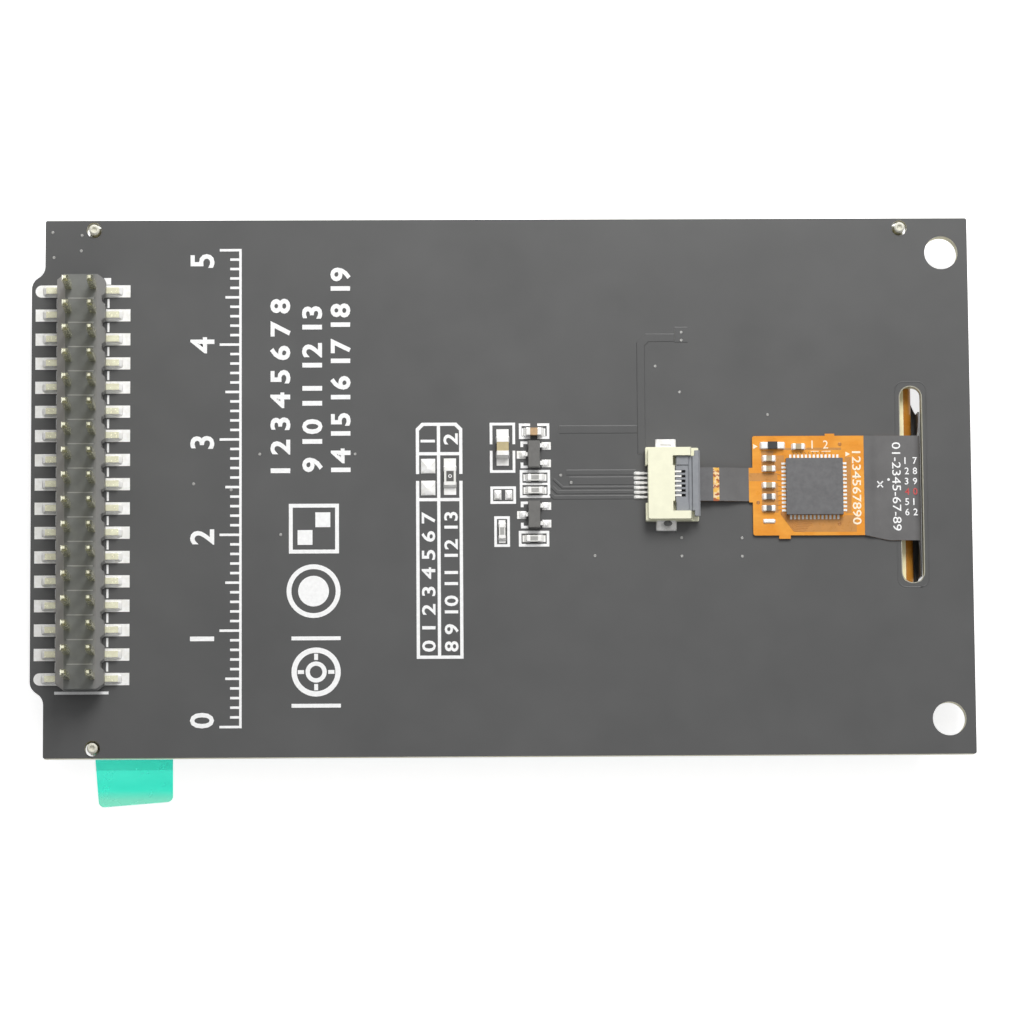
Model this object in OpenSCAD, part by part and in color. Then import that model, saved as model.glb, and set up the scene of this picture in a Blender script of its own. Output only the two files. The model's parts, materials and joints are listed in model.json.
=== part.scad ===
// 3.5 inch TFT display module with a capacitive touch panel, lying on its display face.
// The origin is the middle of the circuit board, on the outer face of the protective film.
// +X runs from the pin header to the mounting holes, +Z from the display to the parts side.

/* [Display panel] */
// Corner radius of the cover glass
panel_corner_r = 1.2; // [0.4:0.1:2.5]
// Length of the lit picture
picture_l = 73.44; // [60:0.01:96]
// Width of the lit picture
picture_w = 48.96; // [48.96:0.01:70]
// Black margin from the header end of the panel to the picture
margin_header = 3.3; // [2.9:0.1:6]
// Black margin from the cable end of the panel to the picture
margin_cable = 8.86; // [8:0.01:14]
// Black margin on each long side of the picture
margin_side = 3.27; // [2.8:0.01:6]
// Clear rim between the picture and the black border
border_rim = 0.4; // [0.1:0.1:1]
// Thickness of the peel-off film
film_t = 0.1; // [0.05:0.01:0.2]
// Thickness of the cover glass
cover_t = 0.7; // [0.5:0.05:1.1]
// Thickness of the black border ink
ink_t = 0.02; // [0.01:0.01:0.05]
// Thickness of the clear adhesive
adhesive_t = 0.1; // [0.08:0.01:0.2]
// Thickness of the touch sensor glass
sensor_t = 0.5; // [0.3:0.05:0.7]
// Thickness of the foam gasket
gasket_t = 0.3; // [0.2:0.05:0.5]
// Width of the foam gasket
gasket_w = 1.4; // [0.8:0.1:1.5]
// Distance from the panel edge to the gasket
gasket_inset = 0.2; // [0.1:0.1:0.5]
// Distance from the flex end of the panel to the gasket
gasket_flex_inset = 1.4; // [1.2:0.1:2]

/* [Liquid crystal cell] */
// Thickness of each polarizer
polarizer_t = 0.2; // [0.12:0.01:0.25]
// How far the front polarizer stands out of the frame
polarizer_proud = 0.1; // [0.02:0.01:0.15]
// Distance from the edge of the glass to the front polarizer
polarizer_inset = 0.9; // [0.6:0.1:1.2]
// Thickness of each of the two cell glasses
cell_glass_t = 0.3; // [0.25:0.05:0.5]
// Bare ledge of the array glass beyond the filter glass
ledge_l = 3.5; // [3:0.1:4]
// Width of the driver chip on the ledge
driver_w = 1.2; // [0.8:0.1:1.4]
// Length of the driver chip on the ledge
driver_l = 22; // [12:0.5:30]
// Thickness of the driver chip
driver_t = 0.3; // [0.2:0.01:0.36]
// Gap between the filter glass and the driver chip
driver_gap = 0.5; // [0.2:0.1:0.7]

/* [Backlight] */
// Wall of the moulded frame round the glass
frame_wall = 1.15; // [0.8:0.05:1.3]
// Corner radius of the moulded frame
frame_corner_r = 0.8; // [0.3:0.1:1.2]
// Gap between the glass and the frame wall
glass_gap = 0.1; // [0.05:0.05:0.2]
// Distance from the flex end of the panel to the end of the glass
glass_setback = 1.5; // [1.4:0.1:2]
// Width of the shelf that carries the glass
shelf_w = 1.3; // [0.9:0.1:1.6]
// Thickness of the black rim tape on the shelf
rim_tape_t = 0.05; // [0.03:0.01:0.1]
// Gap round the light guide and films
sheet_gap = 0.1; // [0.05:0.05:0.3]
// Thickness of one brightness film
sheet_t = 0.1; // [0.06:0.01:0.15]
// Number of brightness films
sheet_count = 3; // [2:1:4]
// Thickness of the light guide
guide_t = 0.6; // [0.45:0.05:0.8]
// Thickness of the white reflector film
reflector_t = 0.1; // [0.05:0.01:0.15]
// Distance from the panel edge to the reflector film
reflector_inset = 1.75; // [1.6:0.05:2.5]
// Space for the lamps between the light guide and the end of the window
lamp_bay = 2.8; // [2.2:0.1:4]
// Number of lamps in the backlight
lamp_count = 6; // [4:1:8]
// Length of one lamp
lamp_l = 3.8; // [2.5:0.1:4.5]
// Depth of one lamp
lamp_d = 1.0; // [0.6:0.1:1.4]
// Distance between lamps
lamp_pitch = 7.6; // [5:0.1:8]
// Diameter of the locating pegs
peg_d = 1.1; // [0.9:0.1:1.8]
// Distance from the frame edge to the side of a peg
peg_edge = 0.05; // [0.02:0.01:0.3]
// Depth of the hollow in the end of each peg
peg_hollow = 0.25; // [0.1:0.05:0.4]
// Height of the pegs above the board
peg_proud = 0.5; // [0.2:0.1:1]
// Radial clearance of a peg in its hole
peg_clearance = 0.25; // [0.1:0.05:0.27]

/* [Circuit board] */
// Board beyond the panel at the pin header end
header_margin = 5.9; // [5.5:0.1:9]
// Board beyond the panel at the mounting hole end
hole_margin = 6.5; // [6:0.1:10]
// Board beyond the panel along each long side
side_margin = 0.42; // [0.3:0.02:2]
// Thickness of the circuit board
board_t = 1.6; // [1:0.1:2]
// Corner radius of the circuit board
board_corner_r = 0.2; // [0.1:0.1:1]
// How far the board corners are set back beside the header
edge_step = 1.4; // [0.5:0.1:1.7]
// Length of the curve into that set-back
edge_curve_l = 2.4; // [1.8:0.1:3]
// Diameter of the mounting holes
hole_d = 3.5; // [2.5:0.1:4]
// Distance between the mounting holes
hole_pitch = 49; // [42:0.5:51]
// Distance from the end of the board to the mounting holes
hole_inset = 2.75; // [2.4:0.05:3]
// Width of the slot for the touch cable
slot_w = 2.25; // [2:0.05:3]
// Length of the slot for the touch cable
slot_l = 20.6; // [14:0.1:26]
// Corner radius of the slot
slot_r = 0.85; // [0.3:0.05:0.95]
// How far the slot reaches over the panel
slot_lap = 0.87; // [0.6:0.01:1]
// Thickness of the foam strips between the panel and the board
strip_t = 0.4; // [0.35:0.05:0.8]
// Width of one foam strip
strip_w = 9; // [5:0.5:12]
// Distance from the reflector's edge to the foam strips
strip_inset = 1; // [0.5:0.1:2]
// Gap between the foam strips and the display's cable
strip_flex_gap = 3; // [1:0.5:6]
// Thickness of the tinned pads
pad_t = 0.05; // [0.03:0.01:0.1]
// Thickness of the white print
print_t = 0.03; // [0.02:0.01:0.05]
// Width of the white lines of the table
line_w = 0.34; // [0.15:0.01:0.45]
// Width of the white lines round the small parts
thin_line_w = 0.28; // [0.15:0.01:0.35]

/* [Pin header] */
// Number of pins in each of the two rows
pin_rows = 17; // [10:1:18]
// Distance between pins
pin_pitch = 2.54; // [2:0.01:2.6]
// Thickness of the square pins
pin_w = 0.64; // [0.5:0.01:0.7]
// Length of the pins above the housing
pin_l = 5.7; // [3:0.1:8]
// Length of the tapered tip
pin_tip_l = 0.7; // [0.3:0.1:1]
// Thickness of the pin at its tip
pin_tip_w = 0.28; // [0.15:0.01:0.4]
// Inner radius of the bend into the foot
pin_bend_r = 0.15; // [0.1:0.05:0.4]
// Distance from the header's middle to the end of a foot
foot_reach = 3.8; // [3.4:0.05:4.5]
// Height of the housing
housing_h = 2.5; // [2:0.1:3]
// Width of the housing
housing_w = 4.96; // [4.6:0.02:5.2]
// Gap between the pins' bends and the housing
housing_gap = 0.01; // [0.01:0.01:0.3]
// Depth of the breakaway notches
notch_d = 0.75; // [0.3:0.05:0.85]
// Width of the breakaway notches at the edge
notch_w = 1.1; // [0.6:0.1:1.4]
// Width of the bevel along the housing
housing_bevel_w = 0.8; // [0.2:0.05:0.9]
// Height of the bevel along the housing
housing_bevel_h = 0.25; // [0.1:0.05:0.6]
// Distance from the end of the board to the header's middle
header_inset = 5.35; // [5.1:0.05:7]
// Shift of the header along the board's width
header_shift = 0.35; // [-1:0.05:1]
// Width of a header pad
header_pad_w = 1.28; // [1:0.02:1.5]
// Inner end of a header pad from the header's middle
header_pad_in = 2.1; // [1.8:0.1:2.4]
// Outer end of a header pad from the header's middle
header_pad_out = 4.95; // [4.7:0.05:5.1]

/* [Cable connector] */
// Distance from the board's middle to the back of the connector
socket_x = 14.9; // [13:0.1:17]
// Depth of the connector's body behind the lever
socket_body_l = 3.0; // [2.6:0.1:3.2]
// Whole depth of the connector's base
socket_l = 5.55; // [5.4:0.05:6.5]
// Width of the connector
socket_w = 7.7; // [7.3:0.1:9]
// Height of the connector
socket_h = 1.9; // [1.8:0.05:2.4]
// Thickness of the connector's floor
socket_floor = 0.5; // [0.4:0.05:0.6]
// How far the low base stands out beyond the upper body at each side
socket_flange = 0.12; // [0.05:0.01:0.2]
// How far the low base stands out beyond the upper body at the back
socket_step = 0.24; // [0.1:0.02:0.3]
// Height of the low base
socket_base_h = 1.2; // [0.8:0.05:1.4]
// Width of each arm beside the lever
arm_w = 0.95; // [0.8:0.01:1.1]
// Length of each arm measured from the lever's axis
arm_l = 1.22; // [1:0.02:1.3]
// Number of contacts
contact_count = 6; // [4:1:6]
// Distance between contacts
contact_pitch = 0.5; // [0.4:0.05:0.5]
// Width of a contact
contact_w = 0.2; // [0.12:0.01:0.22]
// Thickness of a contact's arms
contact_t = 0.25; // [0.15:0.01:0.27]
// Length of the solder tails behind the connector
tail_l = 1.0; // [0.6:0.1:1.5]
// Thickness of the solder tails
tail_t = 0.15; // [0.1:0.01:0.2]
// Distance from the back of the connector to the holding tabs
side_tab_x = 1.2; // [1:0.05:1.5]
// Height of the holding tabs
side_tab_h = 1.1; // [0.6:0.05:1.2]
// How far the holding tabs stand out of the sides
side_tab_l = 0.85; // [0.5:0.05:1.2]
// Length of the holding tabs along the connector
side_tab_w = 1.94; // [1.2:0.02:2]
// Thickness of the holding tabs
side_tab_t = 0.2; // [0.15:0.01:0.3]
// Width of the metal round the solder window of a holding tab
side_tab_rim = 0.4; // [0.3:0.05:0.5]

/* [Locking lever] */
// Distance from the front of the body to the lever's axis
lever_axis_x = 0.55; // [0.5:0.01:0.7]
// Height of the lever's axis above the pads
lever_axis_z = 1.3; // [1.27:0.01:1.4]
// Radius of the rounded back of the lever
lever_back_r = 0.45; // [0.35:0.01:0.46]
// Length from the axis to the free edge of the lever
lever_l = 2.1; // [1.8:0.05:2.4]
// Thickness of the lever below its axis
lever_below = 0.35; // [0.25:0.01:0.36]
// Thickness of the lever above its axis
lever_above = 0.3; // [0.2:0.01:0.4]
// Extra height of the lever's free edge
lever_rim = 0.12; // [0.05:0.01:0.3]
// Whole width of the lever's free edge
lever_w = 6.84; // [6.4:0.02:7.4]
// Gap between the ends of the arms and the lever's free edge
lever_gap = 0.3; // [0.1:0.02:0.4]
// Depth of the finger groove across the lever
lever_groove_d = 0.16; // [0.1:0.01:0.25]
// Width of the finger groove across the lever
lever_groove_w = 0.34; // [0.2:0.02:0.4]
// Depth of the lever's comb below its end blocks
lever_comb_d = 0.12; // [0.05:0.01:0.15]
// Radius of the lever's pivots
pivot_r = 0.28; // [0.2:0.01:0.32]
// Length of the lever's pivots
pivot_l = 0.34; // [0.2:0.01:0.4]
// Running clearance of the lever
lever_clearance = 0.03; // [0.02:0.005:0.05]
// Reach of the finger slots in front of the axis
finger_slot_l = 0.58; // [0.4:0.01:0.6]
// Width of the finger slots
finger_slot_w = 0.3; // [0.26:0.01:0.32]

/* [Touch cable] */
// Thickness of the amber cable
cable_t = 0.1; // [0.06:0.01:0.14]
// Thickness of the black films on it
cable_film_t = 0.03; // [0.02:0.005:0.05]
// Width of the narrow tail in the connector
tail_w = 3.5; // [2.6:0.1:3.6]
// Thickness of the grey stiffener on the tail
tail_stiffener_t = 0.2; // [0.1:0.01:0.22]
// Length of the tail outside the lever that the grey stiffener covers
tail_stiffener_out = 1.4; // [0.8:0.1:2]
// Length of the bare amber strip beside it
bare_strip_l = 0.65; // [0.3:0.05:1]
// Distance from the board's middle to the amber field
field_x = 26.1; // [25.5:0.1:27]
// Length of the amber field that carries the chip
field_l = 11.65; // [11:0.05:12.2]
// Width of the amber field that carries the chip
field_w = 10.45; // [10:0.05:13]
// Thickness of the plate under the amber field
field_plate_t = 0.2; // [0.1:0.01:0.3]
// Width of the cable through the slot
cable_w = 11; // [8:0.1:13]
// Shift of the cable along the slot
cable_shift = -0.4; // [-1:0.1:1]
// Gap between the cable and the far side of the slot
drop_gap = 0.12; // [0.05:0.01:0.3]
// Bend radius of the cable over the slot
drop_bend_r = 0.8; // [0.6:0.05:1]
// Bend radius of the cable beside the panel
foot_bend_r = 0.6; // [0.4:0.05:0.7]
// Bonded length of the cable on the sensor
bond_l = 1; // [0.6:0.1:1.1]
// Half width of the cable where it leaves the sensor
root_w = 10.3; // [8:0.1:12]

/* [Touch controller] */
// Side of the square touch controller
chip_w = 5.9; // [5:0.1:6.2]
// Height of the touch controller
chip_h = 0.75; // [0.5:0.05:1]
// Distance from the edge of the field to the middle of the controller
chip_x = 6.42; // [6.2:0.01:6.6]
// Shift of the controller across the field
chip_shift = -0.15; // [-0.4:0.01:0.4]
// Number of leads on each side
lead_count = 13; // [8:1:13]
// Distance between leads
lead_pitch = 0.41; // [0.35:0.01:0.42]
// Width of a lead
lead_w = 0.22; // [0.12:0.01:0.26]
// Length of a lead outside the controller
lead_out = 0.45; // [0.2:0.01:0.5]

/* [Display cable and pull tab] */
// Thickness of the display's own cable
lcd_flex_t = 0.1; // [0.06:0.01:0.14]
// Width of the display's own cable
lcd_flex_w = 32; // [24:0.5:34]
// How far its bend stands out beyond the panel
lcd_flex_out = 0.56; // [0.2:0.01:0.6]
// Length of the folded part behind the panel
lcd_flex_back = 14; // [10:0.5:20]
// Length of its bond on the glass
lcd_bond_l = 1.1; // [0.8:0.1:1.5]
// How much narrower each side of its end is
lcd_flex_taper = 4; // [2:0.5:6]
// Length of its narrow end
lcd_flex_end_l = 6; // [4:0.5:7]
// Length of its shoulder
lcd_shoulder_l = 3; // [1:0.5:4]
// Number of solder joints on it
joint_count = 40; // [20:1:45]
// Length of a solder joint
joint_l = 2; // [1:0.1:3]
// Distance from its end to the solder joints
joint_inset = 0.2; // [0.1:0.1:1]
// Width of the green pull tab
pull_tab_w = 8.1; // [4:0.1:15]
// Length of the green pull tab outside the panel
pull_tab_l = 5.15; // [3:0.05:10]
// Distance from the left end of the panel to the pull tab
pull_tab_x = 0.55; // [0.3:0.05:5]
// Thickness of the pull tab
pull_tab_t = 0.06; // [0.03:0.01:0.1]
// Length of the film tongue under the pull tab
tongue_l = 1.3; // [0.8:0.1:2]

/* [Small parts] */
// Length of a pad beyond the end of a small part
small_toe = 0.45; // [0.2:0.05:0.48]
// Length of a pad beyond the end of a large part
large_toe = 0.98; // [0.4:0.02:1]
// Height of the transistors
transistor_h = 1.0; // [0.8:0.05:1.2]
// Thickness of the transistor leads
transistor_lead_t = 0.12; // [0.08:0.01:0.2]

/* [Hidden] */
$fn = 48;
// a sliver that makes a cut pass its face
eps = 0.01;

// board and panel outline
panel_l = margin_header + picture_l + margin_cable;
panel_w = picture_w + 2 * margin_side;
board_l = header_margin + panel_l + hole_margin;
board_w = panel_w + 2 * side_margin;
board_x0 = -board_l / 2;
board_x1 = board_l / 2;
panel_x0 = board_x0 + header_margin;
panel_x1 = board_x1 - hole_margin;
picture_x0 = panel_x0 + margin_header;

// heights of the layers, from the film up
cover_z = film_t;
adhesive_z = cover_z + cover_t;
sensor_z = adhesive_z + adhesive_t;
gasket_z = sensor_z + sensor_t;
frame_z = gasket_z + gasket_t;
polarizer_z = frame_z - polarizer_proud;
filter_z = polarizer_z + polarizer_t;
array_z = filter_z + cell_glass_t;
shelf_z = array_z + cell_glass_t;
film_stack_z = shelf_z + polarizer_t;
guide_z = film_stack_z + sheet_count * sheet_t;
frame_back_z = guide_z + guide_t;
strip_z = frame_back_z + reflector_t;
board_z = strip_z + strip_t;
board_top = board_z + board_t;
seat_z = board_top + pad_t;

// cell and backlight places
pocket_x0 = panel_x0 + frame_wall;
pocket_w = panel_w - 2 * frame_wall;
glass_x0 = pocket_x0 + glass_gap;
glass_x1 = panel_x1 - glass_setback;
glass_w = pocket_w - 2 * glass_gap;
filter_x1 = glass_x1 - ledge_l;
window_x0 = pocket_x0 + shelf_w;
window_x1 = glass_x1 - shelf_w;
window_w = pocket_w - 2 * shelf_w;
guide_x1 = window_x1 - lamp_bay;
lamp_strip_t = sheet_t;
lamp_strip_lap = 1;
flex_relief_w = lcd_flex_w + 2;
end_wall_out = 0.3;
lcd_bend_r = (strip_z + lcd_flex_t - array_z) / 2;
lcd_bend_x = panel_x1 + lcd_flex_out - lcd_bend_r - lcd_flex_t / 2;
lcd_tail_x = lcd_bend_x - lcd_flex_back;
peg_inset = peg_edge + peg_d / 2;
peg_left = panel_x0 + peg_inset;
peg_right = panel_x1 - peg_inset;
peg_y = panel_w / 2 - peg_inset;
pegs = [[peg_left, peg_y], [peg_left, -peg_y], [peg_right, peg_y]];

// slot and touch cable places
slot_x0 = panel_x1 - slot_lap;
slot_x1 = slot_x0 + slot_w;
cable_half = cable_t / 2;
cable_skin = cable_half + cable_film_t;
drop_x = slot_x1 - drop_gap - cable_skin;

// header places
header_x = board_x0 + header_inset;
header_half = (pin_rows - 1) / 2 * pin_pitch;
housing_z = seat_z + pin_w + pin_bend_r + housing_gap;
housing_top = housing_z + housing_h;
pin_top = housing_top + pin_l;

// connector and lever places
socket_front = socket_x + socket_body_l;
back_x = socket_x + socket_step;
axis_x = socket_front + lever_axis_x;
axis_z = seat_z + lever_axis_z;
floor_z = seat_z + socket_floor;
tail_z = floor_z + cable_half;
lever_end = axis_x + lever_l;
tail_end = socket_x + 1.2;
tab_x = socket_x + side_tab_x;
tail_bare_x = lever_end + tail_stiffener_out;
tail_film_x = tail_bare_x + bare_strip_l;
field_z = board_top + field_plate_t + cable_half;
field_x1 = field_x + field_l;
field_top = field_z + cable_half;
field_shift = -0.13;
chip_mid = [field_x + chip_x, field_shift + chip_shift];
lane_z = board_top + cable_skin;

// surface parts on the board: [x, y, turn, length, width, height, end length]
supply_cap = [0.07, 4.04, 90, 1.87, 1.27, 1, 0.47];
bypass_cap = [3.32, 5.63, 0, 1.55, 0.8, 0.8, 0.39];
small_resistors = [
    [3.42, 0.85, 0, 1.5, 0.7, 0.45, 0.32], [3.42, -0.5, 0, 1.5, 0.7, 0.45, 0.32],
    [3.28, -5.55, 0, 1.5, 0.7, 0.45, 0.32], [-0.04, -4.79, 90, 1.5, 0.7, 0.45, 0.32]
];
link_resistor = [-5.43, 0.99, 90, 1.87, 1.27, 0.5, 0.35];
coat_share = 0.6;
transistor_spots = [[3.32, 3.26], [3.31, -3.06]];
transistor_size = [1.3, 2.9];
transistor_lead = [0.42, 0.92, 1.62];
transistor_pad = [0.95, 0.8];

// parts on the amber field, from its near corner: [x, y, turn, length, width, height, end length]
diode_spot = [2.1, 9.42, 0, 1.0, 0.75, 0.55, 0.02];
diode_ends = [2.1, 9.42, 0, 2.35, 0.7, 0.4, 0.675];
flex_cap_spots = [
    [4.8, 9.3, 0, 1.2, 0.6, 0.5, 0.3], [1.72, 8.05, 0, 1.2, 0.6, 0.5, 0.3],
    [1.7, 6.98, 0, 1.2, 0.6, 0.5, 0.3], [1.68, 5.25, 0, 1.2, 0.6, 0.5, 0.3]
];
flex_res_spots = [[1.68, 4.06, 0, 1.2, 0.6, 0.38, 0.32], [1.66, 2.84, 0, 1.2, 0.6, 0.38, 0.32]];
field_corner = [field_x, field_shift - field_w / 2];

// white print on the board: frames as [x, y, width, height]
print_frames = [
    [0.06, 4.01, 2.65, 5.27], [3.37, 5.74, 3.18, 1.64], [3.42, 0.195, 3.16, 2.93],
    [3.28, -5.55, 3.17, 1.65], [0.1, -0.97, 2.66, 1.83], [-0.04, -4.79, 1.63, 3.21]
];
// breaks in those frames: [x, y, width, height]
print_breaks = [[0.06, 4.04, 4, 0.68], [3.33, 5.77, 0.74, 3], [-6.55, 0.92, 7, 0.72]];
// the settings table and its bare pads
table_mid = [-6.55, -5.68];
table_size = [4.85, 24.71];
table_corner = 0.62;
table_rules = [3.41, -1.41];
link_pads = [[-7.7, 2.11], [-7.7, -0.19]];
spare_pads = [[-0.46, -0.95], [0.68, -0.95]];
// the printed centimetre scale
scale_x = -27.1;
scale_l = 50;
scale_ticks = [2.3, 1.7, 1.2];
scale_line_w = 0.26;

// ---------- helpers ----------

// a rectangle with round corners, given by its corners
module round_rect(x0, y0, x1, y1, r) {
    translate([x0 + r, y0]) square([x1 - x0 - 2 * r, y1 - y0]);
    translate([x0, y0 + r]) square([x1 - x0, y1 - y0 - 2 * r]);
    for (x = [x0 + r, x1 - r], y = [y0 + r, y1 - r]) translate([x, y]) circle(r);
}

// a plate with square corners, given by its corners and its two heights
module plate(x0, y0, x1, y1, z0, z1) {
    translate([x0, y0, z0]) cube([x1 - x0, y1 - y0, z1 - z0]);
}

// a drawing in X and Z pulled along Y from y0 to y1
module along_y(y0, y1) {
    translate([0, y1, 0]) rotate([90, 0, 0]) linear_extrude(y1 - y0) children();
}

// a drawing in Y and Z pulled along X from x0 to x1
module along_x(x0, x1) {
    translate([x0, 0, 0]) rotate([90, 0, 90]) linear_extrude(x1 - x0) children();
}

// points of an arc
function arc(cx, cy, r, a0, a1, n = 8) =
    [for (i = [0:n]) let (a = a0 + (a1 - a0) * i / n) [cx + r * cos(a), cy + r * sin(a)]];

// left-hand normal of the step from a to b
function step_normal(a, b) = [a.y - b.y, b.x - a.x] / norm(b - a);

// a line of points moved sideways by d
function moved(p, d) = [
    for (i = [0:len(p) - 1])
        let (last = len(p) - 1,
             n1 = step_normal(p[max(i - 1, 0)], p[max(i, 1)]),
             n2 = step_normal(p[min(i, last - 1)], p[min(i + 1, last)]),
             m = n1 + n2)
        p[i] + m * (2 * d / (m * m))
];

// a list of points back to front
function backwards(p) = [for (i = [len(p) - 1:-1:0]) p[i]];

// the section of a sheet that follows the points p, from side d0 to side d1
module sheet_section(p, d0, d1) {
    polygon(concat(moved(p, d0), backwards(moved(p, d1))));
}

// a smooth step between two levels, as two equal arcs: points from a to b along X
function soft_step(a, b, n = 6) =
    let (dx = b.x - a.x, dz = b.y - a.y, s = sign(dz),
         r = (dx * dx + dz * dz) / (4 * abs(dz)), w = asin(dx / 2 / r))
    concat(
        [for (i = [0:n]) let (t = w * i / n) [a.x + r * sin(t), a.y + s * r * (1 - cos(t))]],
        [for (i = [n - 1:-1:0]) let (t = w * i / n) [b.x - r * sin(t), b.y - s * r * (1 - cos(t))]]
    );

// ---------- display panel ----------

module protective_film() {
    tab_x0 = panel_x0 + pull_tab_x;
    color("aliceblue", 0.4) linear_extrude(film_t) {
        round_rect(panel_x0, -panel_w / 2, panel_x1, panel_w / 2, panel_corner_r);
        translate([tab_x0, -panel_w / 2 - tongue_l]) square([pull_tab_w, tongue_l + 1]);
    }
}

module film_pull_tab() {
    tab_x0 = panel_x0 + pull_tab_x;
    near = -panel_w / 2 - 0.2;
    far = -panel_w / 2 - pull_tab_l;
    lean = 0.35;
    rise = 0.5;
    r = 0.6;
    outline = concat(
        [[tab_x0, near], [tab_x0 + lean, far + r]],
        arc(tab_x0 + lean + r, far + r, r, 180, 270),
        arc(tab_x0 + pull_tab_w - r, far + r + rise, r, 270, 360),
        [[tab_x0 + pull_tab_w, near]]
    );
    color("turquoise") translate([0, 0, film_t]) linear_extrude(pull_tab_t) polygon(outline);
}

module cover_glass() {
    color("lightblue", 0.4) translate([0, 0, cover_z]) linear_extrude(cover_t)
        round_rect(panel_x0, -panel_w / 2, panel_x1, panel_w / 2, panel_corner_r);
}

module picture_window(extra) {
    w = picture_w / 2 + extra;
    translate([picture_x0 - extra, -w]) square([picture_l + 2 * extra, 2 * w]);
}

module border_print() {
    color("black") translate([0, 0, adhesive_z]) linear_extrude(ink_t) difference() {
        round_rect(panel_x0, -panel_w / 2, panel_x1, panel_w / 2, panel_corner_r);
        picture_window(border_rim);
    }
}

module optical_adhesive() {
    color("whitesmoke", 0.3) {
        translate([0, 0, adhesive_z]) linear_extrude(ink_t) picture_window(border_rim);
        translate([0, 0, adhesive_z + ink_t]) linear_extrude(adhesive_t - ink_t)
            round_rect(panel_x0, -panel_w / 2, panel_x1, panel_w / 2, panel_corner_r);
    }
}

module touch_sensor() {
    color("lightcyan", 0.4) translate([0, 0, sensor_z]) linear_extrude(sensor_t)
        round_rect(panel_x0, -panel_w / 2, panel_x1, panel_w / 2, panel_corner_r);
}

module gasket_tape() {
    x0 = panel_x0 + gasket_inset;
    x1 = panel_x1 - gasket_flex_inset;
    w = panel_w / 2 - gasket_inset;
    color("dimgray") translate([0, 0, gasket_z]) linear_extrude(gasket_t) difference() {
        translate([x0, -w]) square([x1 - x0, 2 * w]);
        translate([x0 + gasket_w, gasket_w - w])
            square([x1 - x0 - 2 * gasket_w, 2 * (w - gasket_w)]);
    }
}

// ---------- liquid crystal cell ----------

module front_polarizer() {
    w = glass_w / 2 - polarizer_inset;
    color("dimgray") plate(glass_x0 + polarizer_inset, -w, filter_x1 - polarizer_inset, w,
        polarizer_z, filter_z);
}

module filter_glass() {
    color("darkslategray") plate(glass_x0, -glass_w / 2, filter_x1, glass_w / 2, filter_z, array_z);
}

module array_glass() {
    color("slategray") plate(glass_x0, -glass_w / 2, glass_x1, glass_w / 2, array_z, shelf_z);
}

module display_driver_chip() {
    x = filter_x1 + driver_gap;
    color("silver") plate(x, -driver_l / 2, x + driver_w, driver_l / 2, array_z - driver_t, array_z);
}

module rear_polarizer() {
    w = window_w / 2 - sheet_gap;
    color("gray") plate(window_x0 + sheet_gap, -w, guide_x1, w, shelf_z, film_stack_z);
}

// ---------- backlight ----------

module window_2d(gap) {
    translate([window_x0 - gap, -window_w / 2 - gap])
        square([window_x1 - window_x0 + 2 * gap, window_w + 2 * gap]);
}

module rim_tape() {
    color("black") translate([0, 0, shelf_z]) linear_extrude(rim_tape_t) difference() {
        translate([glass_x0, -glass_w / 2]) square([glass_x1 - glass_x0, glass_w]);
        window_2d(0);
    }
}

module brightness_films() {
    w = window_w / 2 - sheet_gap;
    x1 = guide_x1 - lamp_strip_lap - sheet_gap;
    color("white") for (i = [0:sheet_count - 1])
        plate(window_x0 + sheet_gap, -w, x1, w,
            film_stack_z + i * sheet_t, film_stack_z + (i + 1) * sheet_t);
}

module light_guide() {
    w = window_w / 2 - sheet_gap;
    color("azure") plate(window_x0 + sheet_gap, -w, guide_x1, w, guide_z, frame_back_z);
}

module reflector_film() {
    w = panel_w / 2 - reflector_inset;
    color("white") plate(panel_x0 + reflector_inset / 2, -w, glass_x1 - 0.5, w,
        frame_back_z, strip_z);
}

module backlight_frame() {
    tray_z = shelf_z + rim_tape_t;
    relief_x = glass_x1 + end_wall_out;
    peg_base = frame_back_z - eps;
    peg_top = board_top + peg_proud;
    peg_tip = 0.15;
    hollow_d = peg_d - 2 * peg_tip - 0.2;
    color("ivory") {
        difference() {
            translate([0, 0, frame_z]) linear_extrude(frame_back_z - frame_z)
                round_rect(panel_x0, -panel_w / 2, panel_x1, panel_w / 2, frame_corner_r);
            plate(pocket_x0, -pocket_w / 2, glass_x1 + glass_gap, pocket_w / 2,
                frame_z - 1, tray_z);
            translate([0, 0, frame_z]) linear_extrude(frame_back_z) window_2d(0);
            plate(relief_x, -flex_relief_w / 2, panel_x1 + 1, flex_relief_w / 2,
                frame_z - 1, frame_back_z + 1);
            plate(glass_x1, -flex_relief_w / 2, panel_x1 + 1, flex_relief_w / 2,
                frame_z - 1, tray_z);
        }
        for (p = pegs) translate([p.x, p.y, peg_base]) difference() {
            union() {
                cylinder(d = peg_d, h = peg_top - peg_tip - peg_base);
                translate([0, 0, peg_top - peg_tip - peg_base])
                    cylinder(d1 = peg_d, d2 = peg_d - 2 * peg_tip, h = peg_tip);
            }
            translate([0, 0, peg_top - peg_hollow - peg_base])
                cylinder(d1 = hollow_d / 2, d2 = hollow_d, h = peg_hollow + eps);
        }
    }
}

module lamp_strip() {
    w = window_w / 2 - 2;
    color("orange") plate(guide_x1 - lamp_strip_lap, -w, window_x1 - sheet_gap, w,
        guide_z - lamp_strip_t, guide_z);
}

module backlight_lamps() {
    color("lightyellow") for (i = [0:lamp_count - 1]) {
        y = (i - (lamp_count - 1) / 2) * lamp_pitch;
        plate(guide_x1 + sheet_gap / 2, y - lamp_l / 2, guide_x1 + sheet_gap / 2 + lamp_d,
            y + lamp_l / 2, guide_z, frame_back_z);
    }
}

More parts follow.
